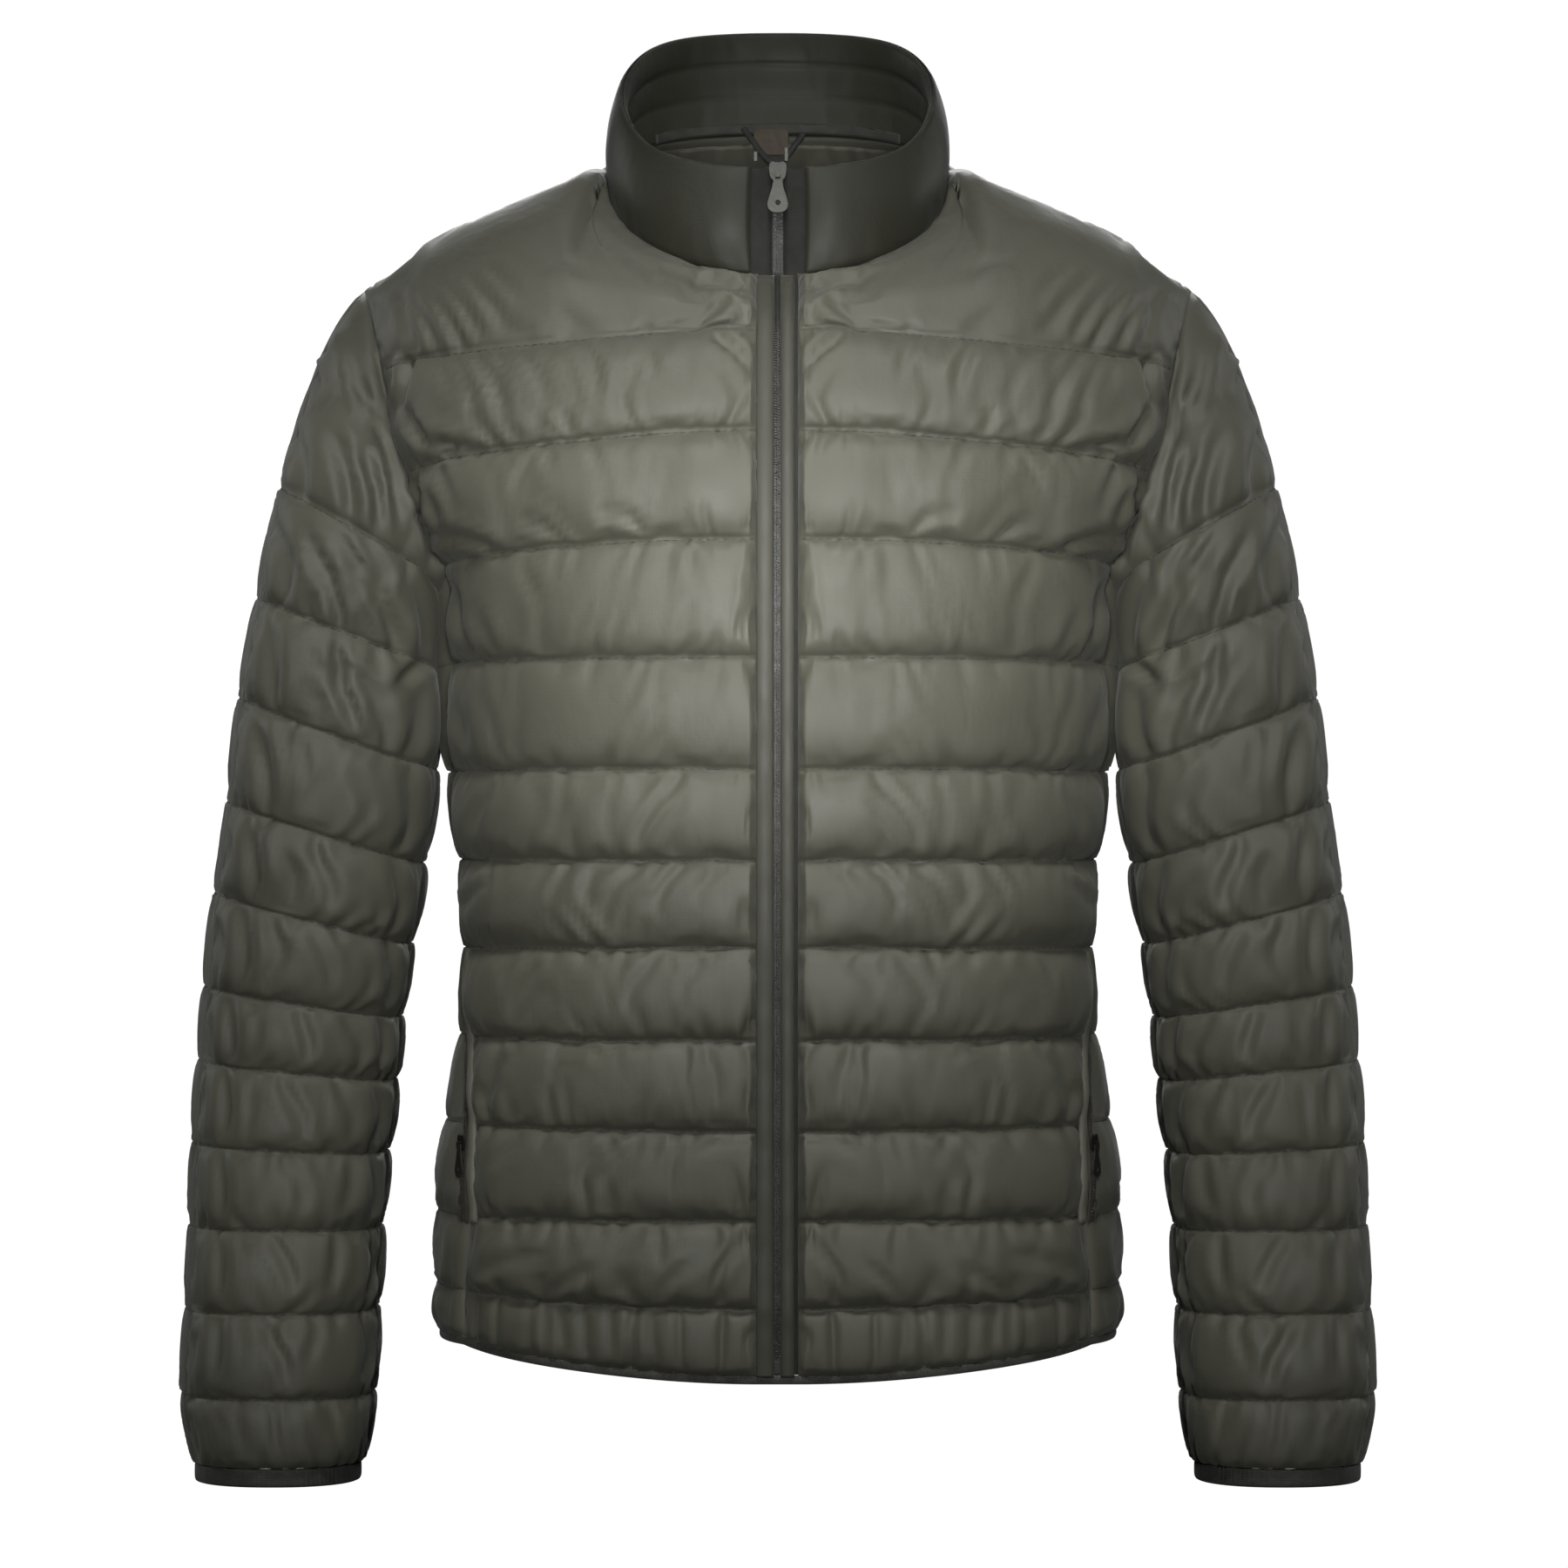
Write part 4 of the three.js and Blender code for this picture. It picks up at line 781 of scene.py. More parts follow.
for key, lines in (("front", range(1, 12)), ("side", range(1, 9)), ("sleeve_front", range(1, 12)), ("sleeve_back", range(1, 12))):
    for ob in both(f"stitching_{key}", *stitches(panels[key], lines)):
        parts[ob.name] = ob
ob = object_of("stitching_back", *stitches(panels["back"], range(1, 12)))
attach(ob, "jacket")
parts[ob.name] = ob


# ------------------------------------------------------------------ collar
def near_edge(d, r):
    """A quarter-round fall over the last r mm before an edge."""
    k = np.clip(1 - d / r, 0, 1)
    return np.sqrt(np.maximum(0, 1 - k * k))


def build_collar():
    turns = np.linspace(COLLAR_TURN, 360 - COLLAR_TURN, 181)
    vs = np.concatenate([np.linspace(0.0, 0.94, 30)[:-1], np.linspace(0.94, 1.0, 7)])
    q = Panel("collar", turns, vs, collar, 1)
    end = np.minimum(q.d0, q.d1)
    top = q.t[-1:] - q.t
    pad = 3.5 * np.clip(end / 14, 0, 1) ** 0.7 * (np.sin(np.pi * np.clip(q.v, 0, 1)) ** 0.7)
    pad += 0.7 * smooth_noise(q.u.shape, 41, 60)
    rng = np.random.default_rng(42)
    for _ in range(34):  # soft upright and slanted creases, mostly above the seam
        c, w, ln, lean, a = rng.uniform(0, q.s.max()), rng.uniform(2.5, 5), rng.uniform(0.25, 0.7), rng.normal(0, 14), rng.uniform(0.25, 0.7)
        k = np.clip(q.v / ln, 0, 1)
        g = (q.s - c - lean * k) / w
        pad += a * (1 - ease(q.v / ln)) * (0.5 * np.exp(-((g - 1.8) ** 2)) - np.exp(-(g**2)) + 0.5 * np.exp(-((g + 1.8) ** 2)))
    roll = near_edge(top, 3.2)
    outer = q.p + q.n * ((1.0 + pad) * (0.25 + 0.75 * roll) * np.minimum(1, 0.5 + q.t / 6))[..., None]
    inner = q.p - q.n * (1.0 * (0.4 + 0.6 * roll))[..., None]
    ob = object_of("collar_cloth", *two_sided(outer, inner))
    turns = np.linspace(14.5, 345.5, 161)
    r = Panel("facing", turns, vs, collar, 1)
    top = r.t[-1:] - r.t
    roll = near_edge(top, 2.4)
    f = np.interp(r.v, [0, 0.36, 0.68, 1.0], [0, 1, 2, 3])
    pad = 2.2 * profile(f - np.floor(f - 1e-6)) * np.clip(np.minimum(r.d0, r.d1) / 10, 0, 1) ** 0.6
    pad += 0.35 * smooth_noise(r.u.shape, 43, 40)
    for _ in range(60):
        c, w, band, lean, a = rng.uniform(0, r.s.max()), rng.uniform(1.6, 3), rng.integers(0, 3), rng.normal(0, 5), rng.uniform(0.3, 0.8)
        k = np.clip(f - band, 0, 1)
        g = (r.s - c - lean * k) / w
        pad -= a * np.sin(np.pi * k) * np.exp(-(g**2)) * ((f >= band) & (f <= band + 1))
    inner = r.p - r.n * ((2.6 + pad) * (0.55 + 0.45 * roll) * 1.0)[..., None]
    outer = r.p - r.n * 1.25
    ob2 = object_of("collar_facing", *two_sided(outer, inner))
    for o, node, slot, fill in ((ob, "collar_outer", "shell", 0.35), (ob2, "collar_inner", "lining", 0.3)):
        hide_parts(node)
        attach(o, "jacket")
        parts[o.name] = o


build_collar()


# the little of the inside that shows
def build_inside():
    us, vs = np.linspace(-0.45, 0.45, 97), np.linspace(0, 1, 25)
    at = lambda u, v: mix(back(u, 11.5 + 0 * v), back(u, 11.97 + 0 * v), np.asarray(v)[..., None])
    q = Panel("lining", us, vs, at, -1)
    rng = np.random.default_rng(51)
    g = 0.35 * smooth_noise(q.u.shape, 52, 30)
    for _ in range(30):
        c, w, lean, a = rng.uniform(0, q.s.max()), rng.uniform(2.2, 4.5), rng.normal(0, 26), rng.uniform(0.2, 0.65)
        k = (q.s - c - lean * q.v) / w
        g += a * (np.exp(-(k**2)) - 0.5 * np.exp(-((k - 1.8) ** 2)))
    mid = -3.6 + np.clip(g, -1, 1)
    ob = object_of("neck_lining_cloth", *two_sided(q.p + q.n * (mid + 0.5)[..., None], q.p + q.n * (mid - 0.5)[..., None]))
    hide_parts("neck_lining")
    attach(ob, "jacket")
    cloth(ob)
    parts[ob.name] = ob
    turns, vs = np.linspace(125, 235, 90), np.linspace(0.0, 0.105, 5)
    q = Panel("tape", turns, vs, collar, 1)
    edge = np.minimum(q.t, q.t[-1:] - q.t)
    lift = 0.35 * np.clip(edge / 1.5, 0, 1) ** 0.5
    ob = object_of("neck_tape_cloth", *two_sided(q.p - q.n * 4.3, q.p - q.n * (4.9 + lift)[..., None]))
    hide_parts("neck_tape")
    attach(ob, "jacket")
    cloth(ob)
    parts[ob.name] = ob
    # hanger loop: a flat woven ribbon in a hanging bow
    path = np.array([(-20, 38), (-15, 31), (-9, 23), (-3, 18), (3, 20), (9, 27), (15, 35)], float)
    k = np.linspace(0, 6, 73)
    cx, cz = Curve([(i, a) for i, (a, _) in enumerate(path)], 1), Curve([(i, b) for i, (_, b) in enumerate(path)], 1)
    x, z = cx(k), cz(k)
    d = unit(np.stack([np.gradient(x), 0 * x, np.gradient(z)], -1))
    across = np.stack([-d[:, 2], 0 * x, d[:, 0]], -1)
    sec = [(-1.75, -0.15), (-1.5, -0.45), (1.5, -0.45), (1.75, -0.15), (1.75, 0.15), (1.5, 0.45), (-1.5, 0.45), (-1.75, 0.15)]
    c = np.stack([x, 59.5 + 0 * x, z], -1)
    rows = np.stack([c + across * a + np.array([0, b, 0]) for a, b in sec], 1)
    ob = object_of("hanger_loop_ribbon", *open_tube(rows))
    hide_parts("hanger_loop")
    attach(ob, "jacket")
    cloth(ob)
    parts[ob.name] = ob
    # bare woven label
    n = 28
    a = np.linspace(0, 2 * np.pi, n, endpoint=False)
    sq = lambda w: np.sign(w) * np.abs(w) ** 0.28
    ring_pts = np.stack([-4 + 10 * sq(np.cos(a)), 0 * a, 30 + 7.5 * sq(np.sin(a))], -1)
    rows = []
    for y, k in ((62.45, 0.985), (62.5, 1.0), (62.1, 1.0), (61.95, 0.985), (61.9, 0.93)):
        r = (ring_pts - [-4, 0, 30]) * k + [-4, y, 30]
        rows.append(r)
    ob = object_of("neck_label_bare", *open_tube(np.array(rows)))
    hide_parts("neck_label")
    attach(ob, "jacket")
    cloth(ob)
    parts[ob.name] = ob


build_inside()


# ------------------------------------------------------------------ bindings
def hem(c):
    c = np.asarray(c, float)
    t = np.where(c > 1, 2 - c, c)
    z = np.zeros_like(t)
    p = np.where((t < 0.42)[..., None], front(np.clip(t / 0.42, 0, 1), z), np.where((t < 0.62)[..., None], side(np.clip((t - 0.42) / 0.2, 0, 1), z), back(np.clip((1 - t) / 0.38, 0, 1), z)))
    p[..., 0] *= np.where(c > 1, -1, 1)
    return p


def binding(name, node, path, out, half, low, high, ribs, seed, closed=True):
    """A folded elastic band along a path: rounded section, fine upright gathers."""
    m = len(path)
    rng = np.random.default_rng(seed)
    s = np.concatenate([[0], np.cumsum(np.linalg.norm(np.diff(path, axis=0), axis=1))])
    phase = 2 * np.pi * s / ribs + 0.8 * np.sin(s / 19) + rng.normal(0, 0.25, m)
    wob = 0.22 * np.sin(phase) + rng.normal(0, 0.05, m)
    rows = []
    for k in range(16):
        a = 2 * np.pi * k / 16
        x, z = math.cos(a), math.sin(a)
        x, z = math.copysign(abs(x) ** 0.6, x), math.copysign(abs(z) ** 0.6, z)
        off = (x * half * 0.86 + wob * (0.6 if x > 0 else 0.3) * abs(x))[:, None]
        rows.append(path + out * off + np.array([0, 0, 1.0]) * (mix(low, high, 0.5 + 0.5 * z) + 0 * off))
    sec = np.stack(rows, 1)
    ob = object_of(name, *(ring_tube(sec) if closed else open_tube(sec)))
    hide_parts(node)
    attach(ob, "jacket")
    parts[ob.name] = ob
    return ob, float(s[-1])


c = np.linspace(0, 2, 900, endpoint=False)
path = hem(c)
d = np.roll(path, -1, 0) - np.roll(path, 1, 0)
out = unit(np.stack([d[:, 1], -d[:, 0], 0 * d[:, 0]], -1))
ob, length = binding("hem_binding_cloth", "hem_binding", path, out, 1.7, -4.5, 0.5, 3.4, 71)
cloth(ob)
for sfx, sgn in (("l", 1), ("r", -1)):
    w = np.linspace(0, 1, 260, endpoint=False)
    p = ring(w, 12.0 + 0 * w)
    q = np.stack([278 + 0 * w, -34 + 0 * w, p[:, 2]], -1)
    p = mix(p, q, 0.045) + [0, 0, -0.3]
    o = unit((p - q) * [1, 1, 0])
    if sgn < 0:
        p, o = p * [-1, 1, 1], o * [-1, 1, 1]
    ob, length = binding(f"cuff_binding_cloth_{sfx}", f"cuff_binding_{sfx}", p, o, 1.4, -10.4, 0.0, 2.6, 72)
    cloth(ob)


# ------------------------------------------------------------------ front zip
def along(vs):
    p = front_line(vs)
    p = p * [0, 1, 1]
    d = unit(np.gradient(p, axis=0))
    n = np.stack([0 * d[:, 0], -d[:, 2], d[:, 1]], -1)
    return p, d, n


def strip(name, node, x0, x1, sec, vs, flat_w, seed, wave=0.25):
    """A long strip beside the zip: sec lists (share of the width, height) of its section."""
    p, d, n = along(vs)
    s = np.concatenate([[0], np.cumsum(np.linalg.norm(np.diff(p, axis=0), axis=1))])
    rng = np.random.default_rng(seed)
    rows = []
    bend = wave * (np.sin(s / 7.3 + seed) * 0.6 + np.sin(s / 3.1 + 2 * seed) * 0.4)
    for k, (a, h) in enumerate(sec):
        tuck = 1 - 0.75 * ease((vs - 11.75) / 0.2) if node.startswith("edge") else 1.0
        lift = ((h + (bend if h > 0.4 else 0)) * tuck)[:, None] if h > 0.4 else np.full((len(vs), 1), h)
        rows.append(p + np.array([1.0, 0, 0]) * mix(x0, x1, a) + n * lift)
    ob = object_of(name, *open_tube(np.stack(rows, 1)))
    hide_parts(node)
    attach(ob, "jacket")
    cloth(ob)
    parts[ob.name] = ob
    return ob


FOLD = [(0, -0.2), (0, 1.4), (0.04, 2.4), (0.14, 3.0), (0.5, 3.3), (0.84, 3.0), (0.95, 2.4), (1, 1.4), (1, -0.2), (0.5, -0.2)]
ZV = np.concatenate([np.linspace(0, 11.96, 420)])
strip("edge_strip_cloth_r", "edge_strip_r", -11.9, -1.9, FOLD, ZV, 0.024, 1)
strip("edge_strip_cloth_l", "edge_strip_l", 1.5, 9.2, FOLD, ZV, 0.022, 2)
FLAT = [(0, -2.4), (0, -1.8), (0.3, -1.72), (0.7, -1.72), (1, -1.8), (1, -2.4), (0.5, -2.4)]
TV = np.linspace(0.01, 13.0, 300)
strip("zip_tape_cloth_l", "zip_tape_l", 3.1, 17, FLAT, TV, 0.014, 3, 0)
strip("zip_tape_cloth_r", "zip_tape_r", -3.1, -17, FLAT, TV, 0.014, 4, 0)

# the chain: meshed coil teeth from both sides
fine = np.linspace(0.25, 12.9, 6000)
p, d, n = along(fine)
s = np.concatenate([[0], np.cumsum(np.linalg.norm(np.diff(p, axis=0), axis=1))])
PITCH = 1.5
at = np.arange(0.4, s[-1] - 0.4, PITCH / 2)
cp = np.stack([np.interp(at, s, p[:, k]) for k in range(3)], -1)
cd = unit(np.stack([np.interp(at, s, d[:, k]) for k in range(3)], -1))
cn = unit(np.stack([np.interp(at, s, n[:, k]) for k in range(3)], -1))
flip = np.where(np.arange(len(at)) % 2 == 0, 1.0, -1.0)
X = np.array([1.0, 0, 0])
centres = cp + X * (flip * 0.95)[:, None] + cn * -0.95
pts, faces = boxes(centres, [X] * len(at), cd, cn, (1.75, 0.31, 0.5))
low_p, low_d, low_n = along(np.linspace(0.03, 0.24, 12))
core_p = np.concatenate([low_p[:1] - low_d[:1] * 2.6, low_p, p[::8]])
core_n = np.concatenate([low_n[:1], low_n, n[::8]])
core = np.stack([core_p + X * a + core_n * b for a, b in ((-2.9, -1.5), (2.9, -1.5), (2.9, -2.3), (-2.9, -2.3))], 1)
pts2, faces2 = open_tube(core)
faces = [list(f) for f in faces] + [[i + len(pts) for i in f] for f in faces2]
ob = object_of("zip_chain_teeth", np.concatenate([pts, pts2]), faces, smooth=False)
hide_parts("zip_chain")
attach(ob, "jacket")
parts[ob.name] = ob


# ------------------------------------------------------------------ metal parts: the solids with their edges eased
def eased(node, body, width, segments=3):
    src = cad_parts[node]
    bm = bmesh.new()
    bm.from_mesh(src.data)
    bmesh.ops.remove_doubles(bm, verts=bm.verts, dist=1e-6)
    bmesh.ops.dissolve_limit(bm, angle_limit=math.radians(3), verts=bm.verts, edges=bm.edges)
    mesh = bpy.data.meshes.new(node + "_eased")
    bm.to_mesh(mesh)
    bm.free()
    ob = bpy.data.objects.new(node + "_eased", mesh)
    ob.matrix_world = src.matrix_world.copy()
    bpy.context.scene.collection.objects.link(ob)
    mod = ob.modifiers.new("Bevel", "BEVEL")
    mod.width, mod.segments, mod.limit_method, mod.angle_limit = width * MM, segments, "ANGLE", math.radians(28)
    mod.use_clamp_overlap = True
    for f in mesh.polygons:
        f.use_smooth = False
    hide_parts(node)
    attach(ob, body)
    parts[ob.name] = ob
    return ob


for node, body, slot, width in (
    ("zip_slider", "jacket", "metal", 0.28), ("zip_pull", "zip_pull", "metal", 0.3), ("top_stop_l", "jacket", "metal", 0.45), ("top_stop_r", "jacket", "metal", 0.45),
    ("bottom_box", "jacket", "dark_metal", 0.35), ("pocket_slider_l", "jacket", "dark_metal", 0.2), ("pocket_slider_r", "jacket", "dark_metal", 0.2),
    ("pocket_pull_l", "pocket_pull_l", "metal", 0.22), ("pocket_pull_r", "pocket_pull_r", "metal", 0.22),
):
    eased(node, body, width)


# ------------------------------------------------------------------ pockets
def pocket():
    fp, sp = panels["front"], panels["side"]

    def on(panel, at, u, v):
        """Height of a panel's outside over its seam level, read from its grid."""
        us, vs = panel.u[0], panel.v[:, 0]
        o = panel.out + panel.thick + (panel.moved * panel.n).sum(-1)
        ui, vi = np.interp(u, us, np.arange(len(us))), np.interp(v, vs, np.arange(len(vs)))
        a, b = np.clip(ui.astype(int), 0, len(us) - 2), np.clip(vi.astype(int), 0, len(vs) - 2)
        fu, fv = ui - a, vi - b
        return (o[b, a] * (1 - fu) + o[b, a + 1] * fu) * (1 - fv) + (o[b + 1, a] * (1 - fu) + o[b + 1, a + 1] * fu) * fv

    def band(name, node, at, panel, u0, u1, sec, slot, lift, flat):
        vs = np.linspace(1.9, 5.0, 150)
        us = np.linspace(u0, u1, 5)
        U, Vv = np.meshgrid(us, vs)
        P = at(U, Vv)
        n = unit(np.cross(np.gradient(P, axis=1), np.gradient(P, axis=0)))
        base = on(panel, at, U, Vv).mean(1, keepdims=True)
        base = np.convolve(np.pad(base[:, 0], 6, mode="edge"), np.ones(13) / 13, "valid")[:, None]
        end = np.clip(np.minimum(Vv - 1.9, 5.0 - Vv) / 0.06, 0, 1) ** 0.5
        low = P + n * (base + lift * 0.4)[..., None]
        high = P + n * (base + lift + np.array(sec)[None] * end)[..., None]
        return both(name, *two_sided(high, low), node=node), flat, slot

    made = [
        band("pocket_welt", "pocket_welt", front, fp, 0.962, 0.994, [1.0, 2.4, 2.9, 2.6, 1.3], "shell", 0.3, (0.024, 0.153)),
        band("pocket_zip", "pocket_zip", side, sp, 0.008, 0.062, [0.3, 0.5, 0.7, 0.5, 0.3], "zip_tape", 0.3, (0.0115, 0.153)),
    ]
    for obs, flat, slot in made:
        for o in obs:
            cloth(o)
            parts[o.name] = o
    # closed teeth down the pocket's zip
    vs = np.linspace(1.95, 4.95, 1200)
    u = np.full_like(vs, 0.03)
    P = side(u, vs)
    across = unit(side(u + 0.02, vs) - side(u - 0.02, vs))
    d = unit(np.gradient(P, axis=0))
    n = unit(np.cross(across, d))
    base = on(sp, side, u, vs)
    base = np.convolve(np.pad(base, 60, mode="edge"), np.ones(121) / 121, "valid")
    P = P + n * (base + 1.15)[:, None]
    s = np.concatenate([[0], np.cumsum(np.linalg.norm(np.diff(P, axis=0), axis=1))])
    at = np.arange(0.5, s[-1], 1.3)
    pick = lambda a: np.stack([np.interp(at, s, a[:, k]) for k in range(3)], -1)
    pts, faces = boxes(pick(P), unit(pick(across)), unit(pick(d)), unit(pick(n)), (1.3, 0.42, 0.35))
    for o in both("pocket_teeth", pts, faces):
        parts[o.name] = o


pocket()


# ------------------------------------------------------------------ materials
class Nodes:
    def __init__(self, name):
        self.m = bpy.data.materials.new(name)
        self.m.use_nodes = True
        self.t = self.m.node_tree
        self.b = self.t.nodes["Principled BSDF"]
        self.at = self.add("ShaderNodeTexCoord").outputs["Object"]

    def add(self, kind, **props):
        n = self.t.nodes.new(kind)
        for k, v in props.items():
            setattr(n, k, v)
        return n

    def put(self, n, **sockets):
        for k, v in sockets.items():
            s = n.inputs[k.replace("_", " ")]
            if hasattr(v, "is_output"):
                self.t.links.new(v, s)
            else:
                s.default_value = v
        return n

    def noise(self, scale, detail=3.0, rough=0.55, stretch_by=(1, 1, 1), distortion=0.0, turn=(0, 0, 0)):
        mp = self.add("ShaderNodeMapping")
        mp.inputs["Scale"].default_value = stretch_by
        mp.inputs["Rotation"].default_value = turn
        self.t.links.new(self.at, mp.inputs["Vector"])
        n = self.add("ShaderNodeTexNoise")
        self.put(n, Vector=mp.outputs[0], Scale=scale, Detail=detail, Roughness=rough, Distortion=distortion)
        return n.outputs["Fac"]

    def ramp(self, fac, stops):
        r = self.add("ShaderNodeValToRGB")
        e = r.color_ramp.elements
        e[0].position, e[0].color = stops[0][0], (*stops[0][1], 1)
        e[1].position, e[1].color = stops[-1][0], (*stops[-1][1], 1)
        for pos, col in stops[1:-1]:
            x = e.new(pos)
            x.color = (*col, 1)
        self.t.links.new(fac, r.inputs["Fac"])
        return r.outputs["Color"]

    def span(self, fac, lo, hi, a=0.3, b=0.7):
        r = self.add("ShaderNodeMapRange")
        for k, v in (("From Min", a), ("From Max", b), ("To Min", lo), ("To Max", hi)):
            r.inputs[k].default_value = v
        self.t.links.new(fac, r.inputs["Value"])
        return r.outputs["Result"]

    def bump(self, height, strength, dist, after=None):
        n = self.add("ShaderNodeBump")
        n.inputs["Strength"].default_value, n.inputs["Distance"].default_value = strength, dist
        self.t.links.new(height, n.inputs["Height"])
        if after is not None:
            self.t.links.new(after, n.inputs["Normal"])
        return n.outputs["Normal"]

    def math(self, op, a, b):
        n = self.add("ShaderNodeMath", operation=op)
        for k, v in enumerate((a, b)):
            if hasattr(v, "is_output"):
                self.t.links.new(v, n.inputs[k])
            else:
                n.inputs[k].default_value = v
        return n.outputs[0]

    def wave(self, axis, scale, rot=(0, 0, 0)):
        mp = self.add("ShaderNodeMapping")
        mp.inputs["Rotation"].default_value = rot
        self.t.links.new(self.at, mp.inputs["Vector"])
        w = self.add("ShaderNodeTexWave", wave_type="BANDS", bands_direction=axis, wave_profile="SIN")
        self.put(w, Vector=mp.outputs[0], Scale=scale, Distortion=0.6)
        w.inputs["Detail"].default_value = 1.0
        return w.outputs["Fac"]


def shade(c, k):
    return tuple(min(1, x * k) for x in c)


def nylon(name, color, rough, wrinkle=1.0, sheen=0.1, spec=0.36):
    k = Nodes(name)
    tone = k.noise(7, 3, 0.6)
    k.put(k.b, **{"Base Color": k.ramp(tone, [(0.32, shade(color, 0.9)), (0.5, color), (0.68, shade(color, 1.1))])})
    k.put(k.b, Roughness=k.span(k.noise(38, 4, 0.6), rough - 0.05, rough + 0.07))
    k.b.inputs["Specular IOR Level"].default_value = spec
    k.b.inputs["Sheen Weight"].default_value = sheen
    k.b.inputs["Sheen Roughness"].default_value = 0.45
    weave = k.math("ADD", k.wave("X", 320), k.wave("Z", 320))
    n0 = k.bump(weave, 0.12, 0.0001)
    n1 = k.bump(k.noise(420, 2, 0.5), 0.18, 0.0002, n0)
    n2 = k.bump(k.noise(120, 3, 0.55, (1, 1, 0.55), 0.5, (0.2, 0.5, 0)), 0.22 * wrinkle, 0.0009, n1)
    n3 = k.bump(k.noise(44, 3, 0.5, (1, 1, 0.7), 0.8, (0.1, -0.6, 0)), 0.22 * wrinkle, 0.0018, n2)
    n4 = k.bump(k.noise(52, 2, 0.45, (1, 1, 0.22), 0.35, (0, 0.55, 0)), 0.5 * wrinkle, 0.0016, n3)
    k.put(k.b, Normal=n4)
    return k.m


def woven(name, color, rough, pitch, depth=0.0002, sheen=0.1):
    k = Nodes(name)
    k.put(k.b, **{"Base Color": k.ramp(k.noise(160, 3, 0.6), [(0.3, shade(color, 0.75)), (0.7, shade(color, 1.25))])})
    k.put(k.b, Roughness=k.span(k.noise(90, 2), rough - 0.06, rough + 0.06))
    k.b.inputs["Sheen Weight"].default_value = sheen
    ribs = k.math("MULTIPLY", k.wave("X", pitch), k.wave("Z", pitch * 0.8))
    n0 = k.bump(ribs, 0.5, depth)
    k.put(k.b, Normal=k.bump(k.noise(700, 2), 0.25, 0.00015, n0))
    return k.m


def metal(name, color, rough):
    k = Nodes(name)
    k.b.inputs["Metallic"].default_value = 1.0
    k.put(k.b, **{"Base Color": k.ramp(k.noise(900, 3, 0.6), [(0.3, shade(color, 0.82)), (0.7, shade(color, 1.08))])})
    k.put(k.b, Roughness=k.span(k.noise(1600, 4, 0.7, (1, 1, 6)), rough - 0.07, rough + 0.12))
    k.put(k.b, Normal=k.bump(k.noise(2600, 2, 0.5, (1, 1, 8)), 0.08, 0.00005))
    return k.m


SHELL = nylon("shell_nylon", (0.088, 0.087, 0.066), 0.55)
# collar: the shell's nylon darkened to under a third of its tone, painted shade for the dark recessed collar
COLLAR_PAINTED_SHADE = nylon("collar_nylon_painted_shade", (0.025, 0.025, 0.0165), 0.56, 1.0, 0.06)
STRIP = nylon("strip_nylon", (0.048, 0.048, 0.036), 0.55, 0.5)
# collar facing: lining nylon darkened to paint the shade that falls inside the collar
LINING_PAINTED_SHADE = nylon("lining_nylon_painted_shade", (0.042, 0.042, 0.030), 0.54, 1.3, 0.07)
BIND = woven("elastic_binding", (0.038, 0.038, 0.031), 0.62, 380, 0.0003)
# zip tape: a dark tape, made near black to paint the shade of the recesses beside the plackets
TAPE_AND_PAINTED_SHADE = woven("zip_tape_weave_and_painted_shade", (0.011, 0.011, 0.008), 0.8, 500, 0.0002, 0.0)
TEETH = woven("coil_teeth", (0.030, 0.030, 0.027), 0.45, 900, 0.0001, 0.0)
POCKET_ZIP = woven("pocket_zip_weave", (0.030, 0.024, 0.016), 0.6, 500)
LABEL = woven("label_weave", (0.075, 0.060, 0.040), 0.7, 420)
RIBBON = woven("ribbon_weave", (0.014, 0.014, 0.013), 0.6, 420)
WELT = nylon("welt_nylon", (0.105, 0.104, 0.080), 0.5, 0.5)
# quilting thread: real stitches, made far darker than the shell to paint the shade in the valleys between baffles
THREAD_AND_PAINTED_SHADE = woven("quilting_thread_and_painted_shade", (0.020, 0.020, 0.016), 0.7, 900, 0.0001)
METAL = metal("satin_nickel", (0.11, 0.11, 0.10), 0.5)
DARK = metal("dark_nickel", (0.07, 0.07, 0.065), 0.5)
LOOKS = {
    "collar_cloth": COLLAR_PAINTED_SHADE, "collar_facing": LINING_PAINTED_SHADE, "neck_lining_cloth": SHELL, "neck_tape_cloth": BIND, "hanger_loop_ribbon": RIBBON,
    "neck_label_bare": LABEL, "hem_binding_cloth": BIND, "cuff_binding_cloth_l": BIND, "cuff_binding_cloth_r": BIND,
    "edge_strip_cloth_l": STRIP, "edge_strip_cloth_r": STRIP, "zip_tape_cloth_l": TAPE_AND_PAINTED_SHADE, "zip_tape_cloth_r": TAPE_AND_PAINTED_SHADE, "zip_chain_teeth": TEETH,
    "pocket_welt_cloth_l": WELT, "pocket_welt_cloth_r": WELT, "pocket_zip_cloth_l": POCKET_ZIP, "pocket_zip_cloth_r": POCKET_ZIP,
    "pocket_teeth_l": POCKET_ZIP, "pocket_teeth_r": POCKET_ZIP,
}
for name, ob in parts.items():
    look = LOOKS.get(name)
    if name.startswith("stitching"):
        look = THREAD_AND_PAINTED_SHADE
    if look is None:
        look = (DARK if ("bottom_box" in name or "pocket_slider" in name) else METAL) if name.endswith("_eased") else SHELL
    ob.data.materials.clear()
    ob.data.materials.append(look)
for node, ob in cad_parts.items():
    if ob.data and not ob.hide_render:
        print("shown node", node)


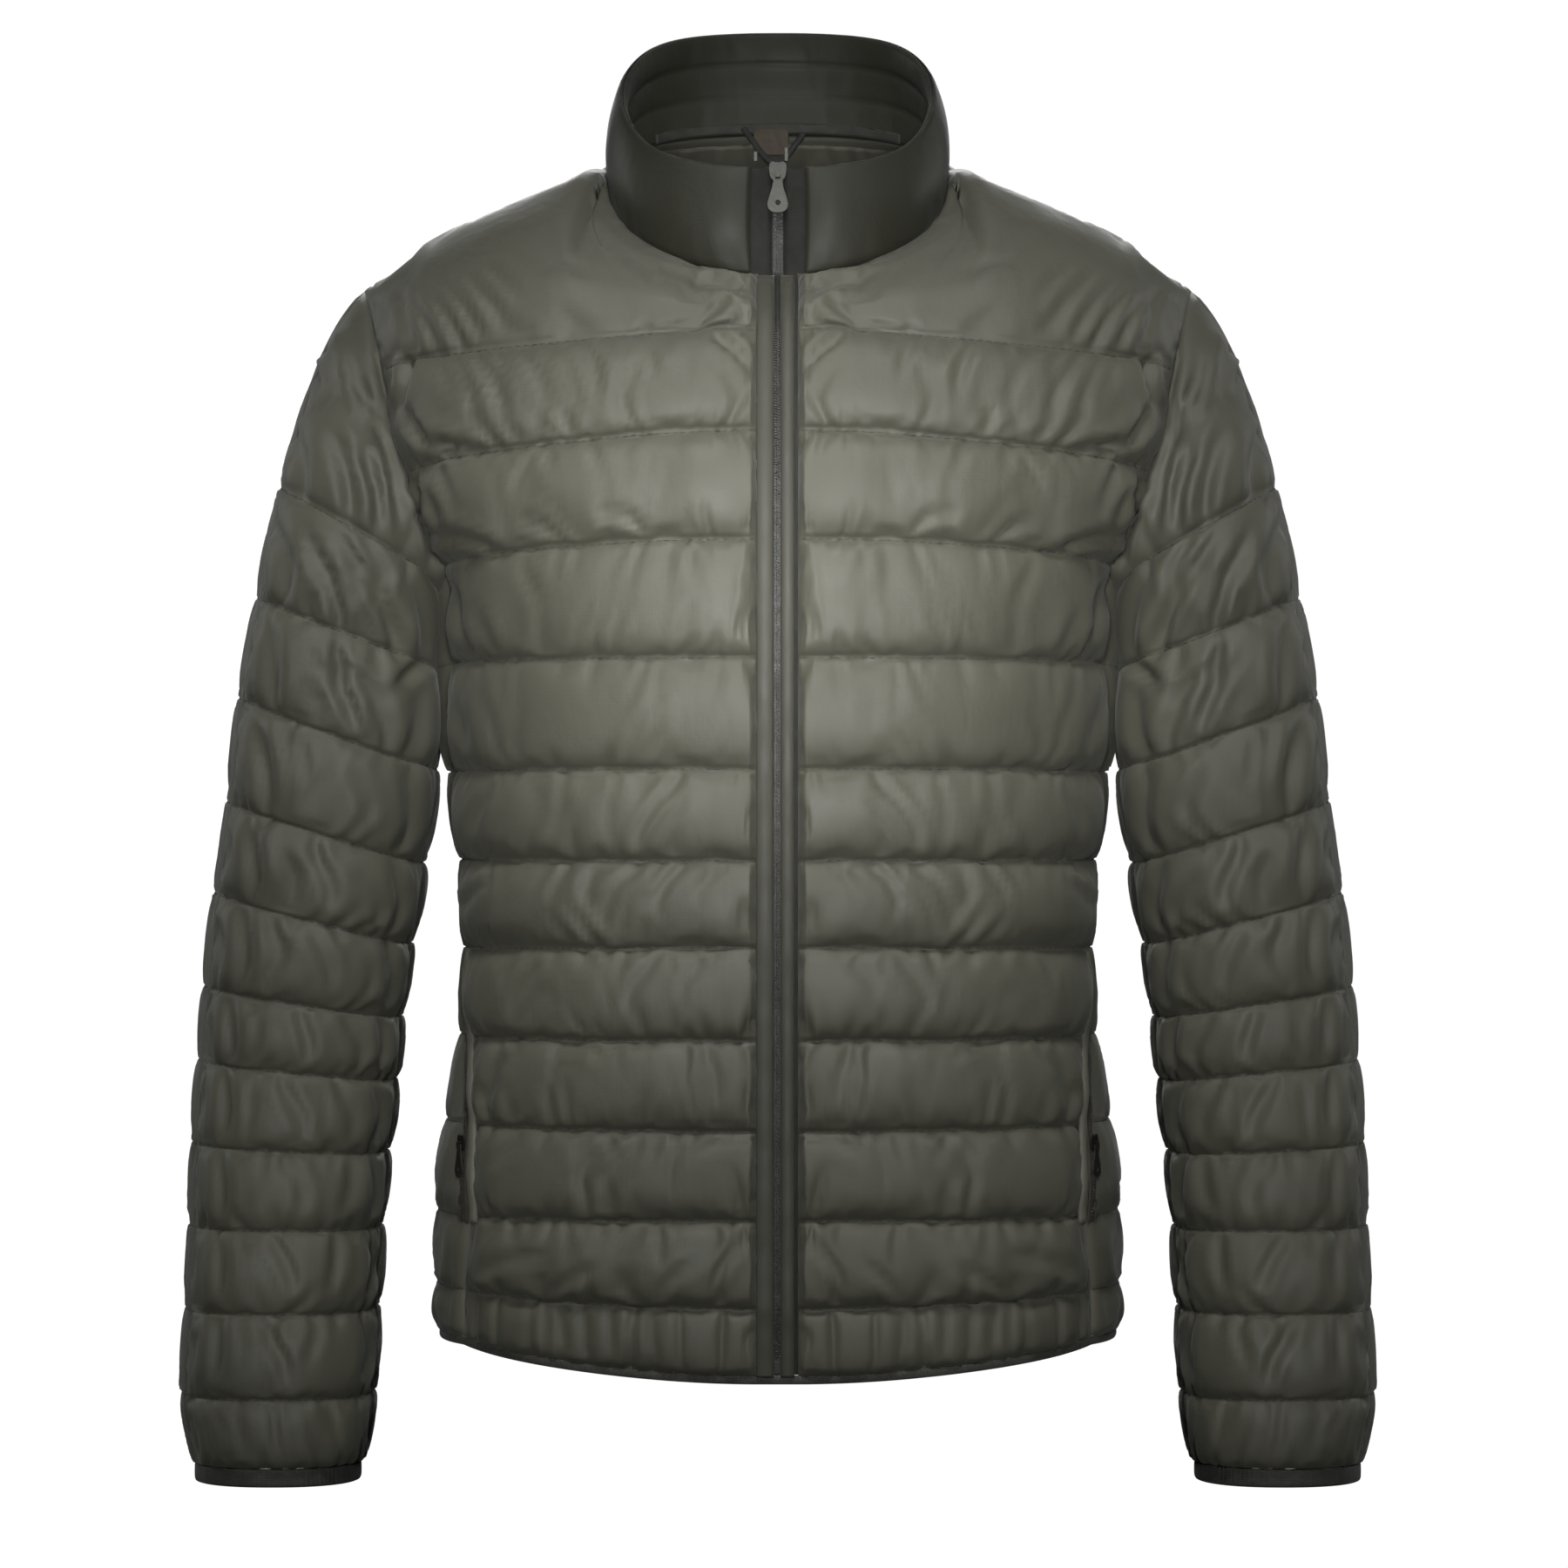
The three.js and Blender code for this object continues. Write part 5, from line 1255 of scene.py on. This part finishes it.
# ------------------------------------------------------------------ floor, light, camera
def stage():
    """A pale floor and a pale round backdrop that give no light of their own to the jacket."""
    k = Nodes("studio_white")
    k.put(k.b, **{"Emission Color": k.ramp(k.noise(0.4, 1), [(0.3, (0.985, 0.985, 0.985)), (0.7, (1, 1, 1))])})
    k.b.inputs["Base Color"].default_value = (0, 0, 0, 1)
    k.b.inputs["Specular IOR Level"].default_value = 0
    k.b.inputs["Roughness"].default_value = 1.0
    k.b.inputs["Emission Strength"].default_value = 1.03
    n, m, r = 64, 24, 9000.0
    a = np.linspace(0, 2 * np.pi, n, endpoint=False)
    rows = [np.stack([r * np.cos(e) * np.cos(a), r * np.cos(e) * np.sin(a), r * np.sin(e) - 790 + 0 * a], -1) for e in np.linspace(0.0, np.pi / 2 - 0.02, m)]
    dome = object_of("studio_backdrop", *open_tube(np.array(rows)))
    a = np.linspace(0, 2 * np.pi, 96, endpoint=False)
    rows = [np.stack([q * np.cos(a), q * np.sin(a), -790 + 0 * a], -1) for q in (9000.0, 4000.0, 1500.0, 300.0)]
    i = np.arange(4 * 96).reshape(4, 96)
    b = np.roll(i, -1, 1)
    faces = np.stack([i[:-1], b[:-1], b[1:], i[1:]], -1).reshape(-1, 4).tolist() + [i[-1].tolist()]
    floor = object_of("studio_floor", np.array(rows), faces)
    lit = bpy.data.collections.new("lit_by_stage")
    lit.objects.link(floor)
    for ob in (dome, floor):
        ob.data.materials.append(k.m)
        ob.light_linking.receiver_collection = lit


stage()


def area(name, at, to, size, power, spread=180, color=(1, 1, 1)):
    data = bpy.data.lights.new(name, "AREA")
    data.shape, data.size, data.size_y, data.energy, data.color = "RECTANGLE", size[0], size[1], power, color
    data.spread = math.radians(spread)
    ob = bpy.data.objects.new(name, data)
    ob.location = at
    ob.rotation_euler = (Vector(to) - Vector(at)).to_track_quat("-Z", "Y").to_euler()
    ob.visible_camera = False
    bpy.context.scene.collection.objects.link(ob)
    return ob


area("top", (0.0, -1.4, 1.5), (0, -0.08, -0.33), (0.4, 0.4), 0.66, 23)
area("key", (0.0, -1.3, -0.16), (0, 0, -0.22), (0.22, 0.3), 0.6, 27)
area("top_fill", (0.0, -1.4, 1.6), (0, 0, -0.3), (1.2, 0.8), 0.95)
area("sleeve_left", (-0.5, -1.4, 0.15), (-0.29, 0, -0.22), (0.15, 0.4), 0.12, 18)
area("sleeve_right", (0.5, -1.4, 0.15), (0.29, 0, -0.22), (0.15, 0.4), 0.12, 18)
area("back", (0.0, 2.3, 0.9), (0, 0, -0.32), (1.6, 1.2), 50)
area("back_left", (-2.3, 0.75, 0.5), (0, 0.02, -0.35), (0.9, 1.4), 11)
area("back_right", (2.3, 0.75, 0.5), (0, 0.02, -0.35), (0.9, 1.4), 11)
area("above", (0.0, 0.5, 2.2), (0, 0.05, -0.1), (1.2, 0.9), 4)
area("low_front", (0.0, -1.5, -0.4), (0, 0, -0.67), (0.35, 0.1), 0.06, 18)
area("low_left", (-0.34, -1.5, -0.35), (-0.28, 0, -0.62), (0.3, 0.3), 0.17, 24)
area("low_right", (0.34, -1.5, -0.35), (0.28, 0, -0.62), (0.3, 0.3), 0.17, 24)

world = bpy.data.worlds.new("studio")
bpy.context.scene.world = world
world.use_nodes = True
world.node_tree.nodes["Background"].inputs["Color"].default_value = (0.9, 0.92, 0.95, 1)
world.node_tree.nodes["Background"].inputs["Strength"].default_value = 0.035

cam = bpy.data.objects.new("camera", bpy.data.cameras.new("camera"))
cam.location = (0.00343, -3.2, -0.3381)
cam.rotation_euler = (math.pi / 2, 0, 0)
cam.data.sensor_width = 36.0
cam.data.lens = 36.0 / (2 * 0.441 / 3.2)
cam.data.clip_start, cam.data.clip_end = 0.05, 60
bpy.context.scene.collection.objects.link(cam)
bpy.context.scene.camera = cam
bpy.context.scene.view_settings.view_transform = "Standard"
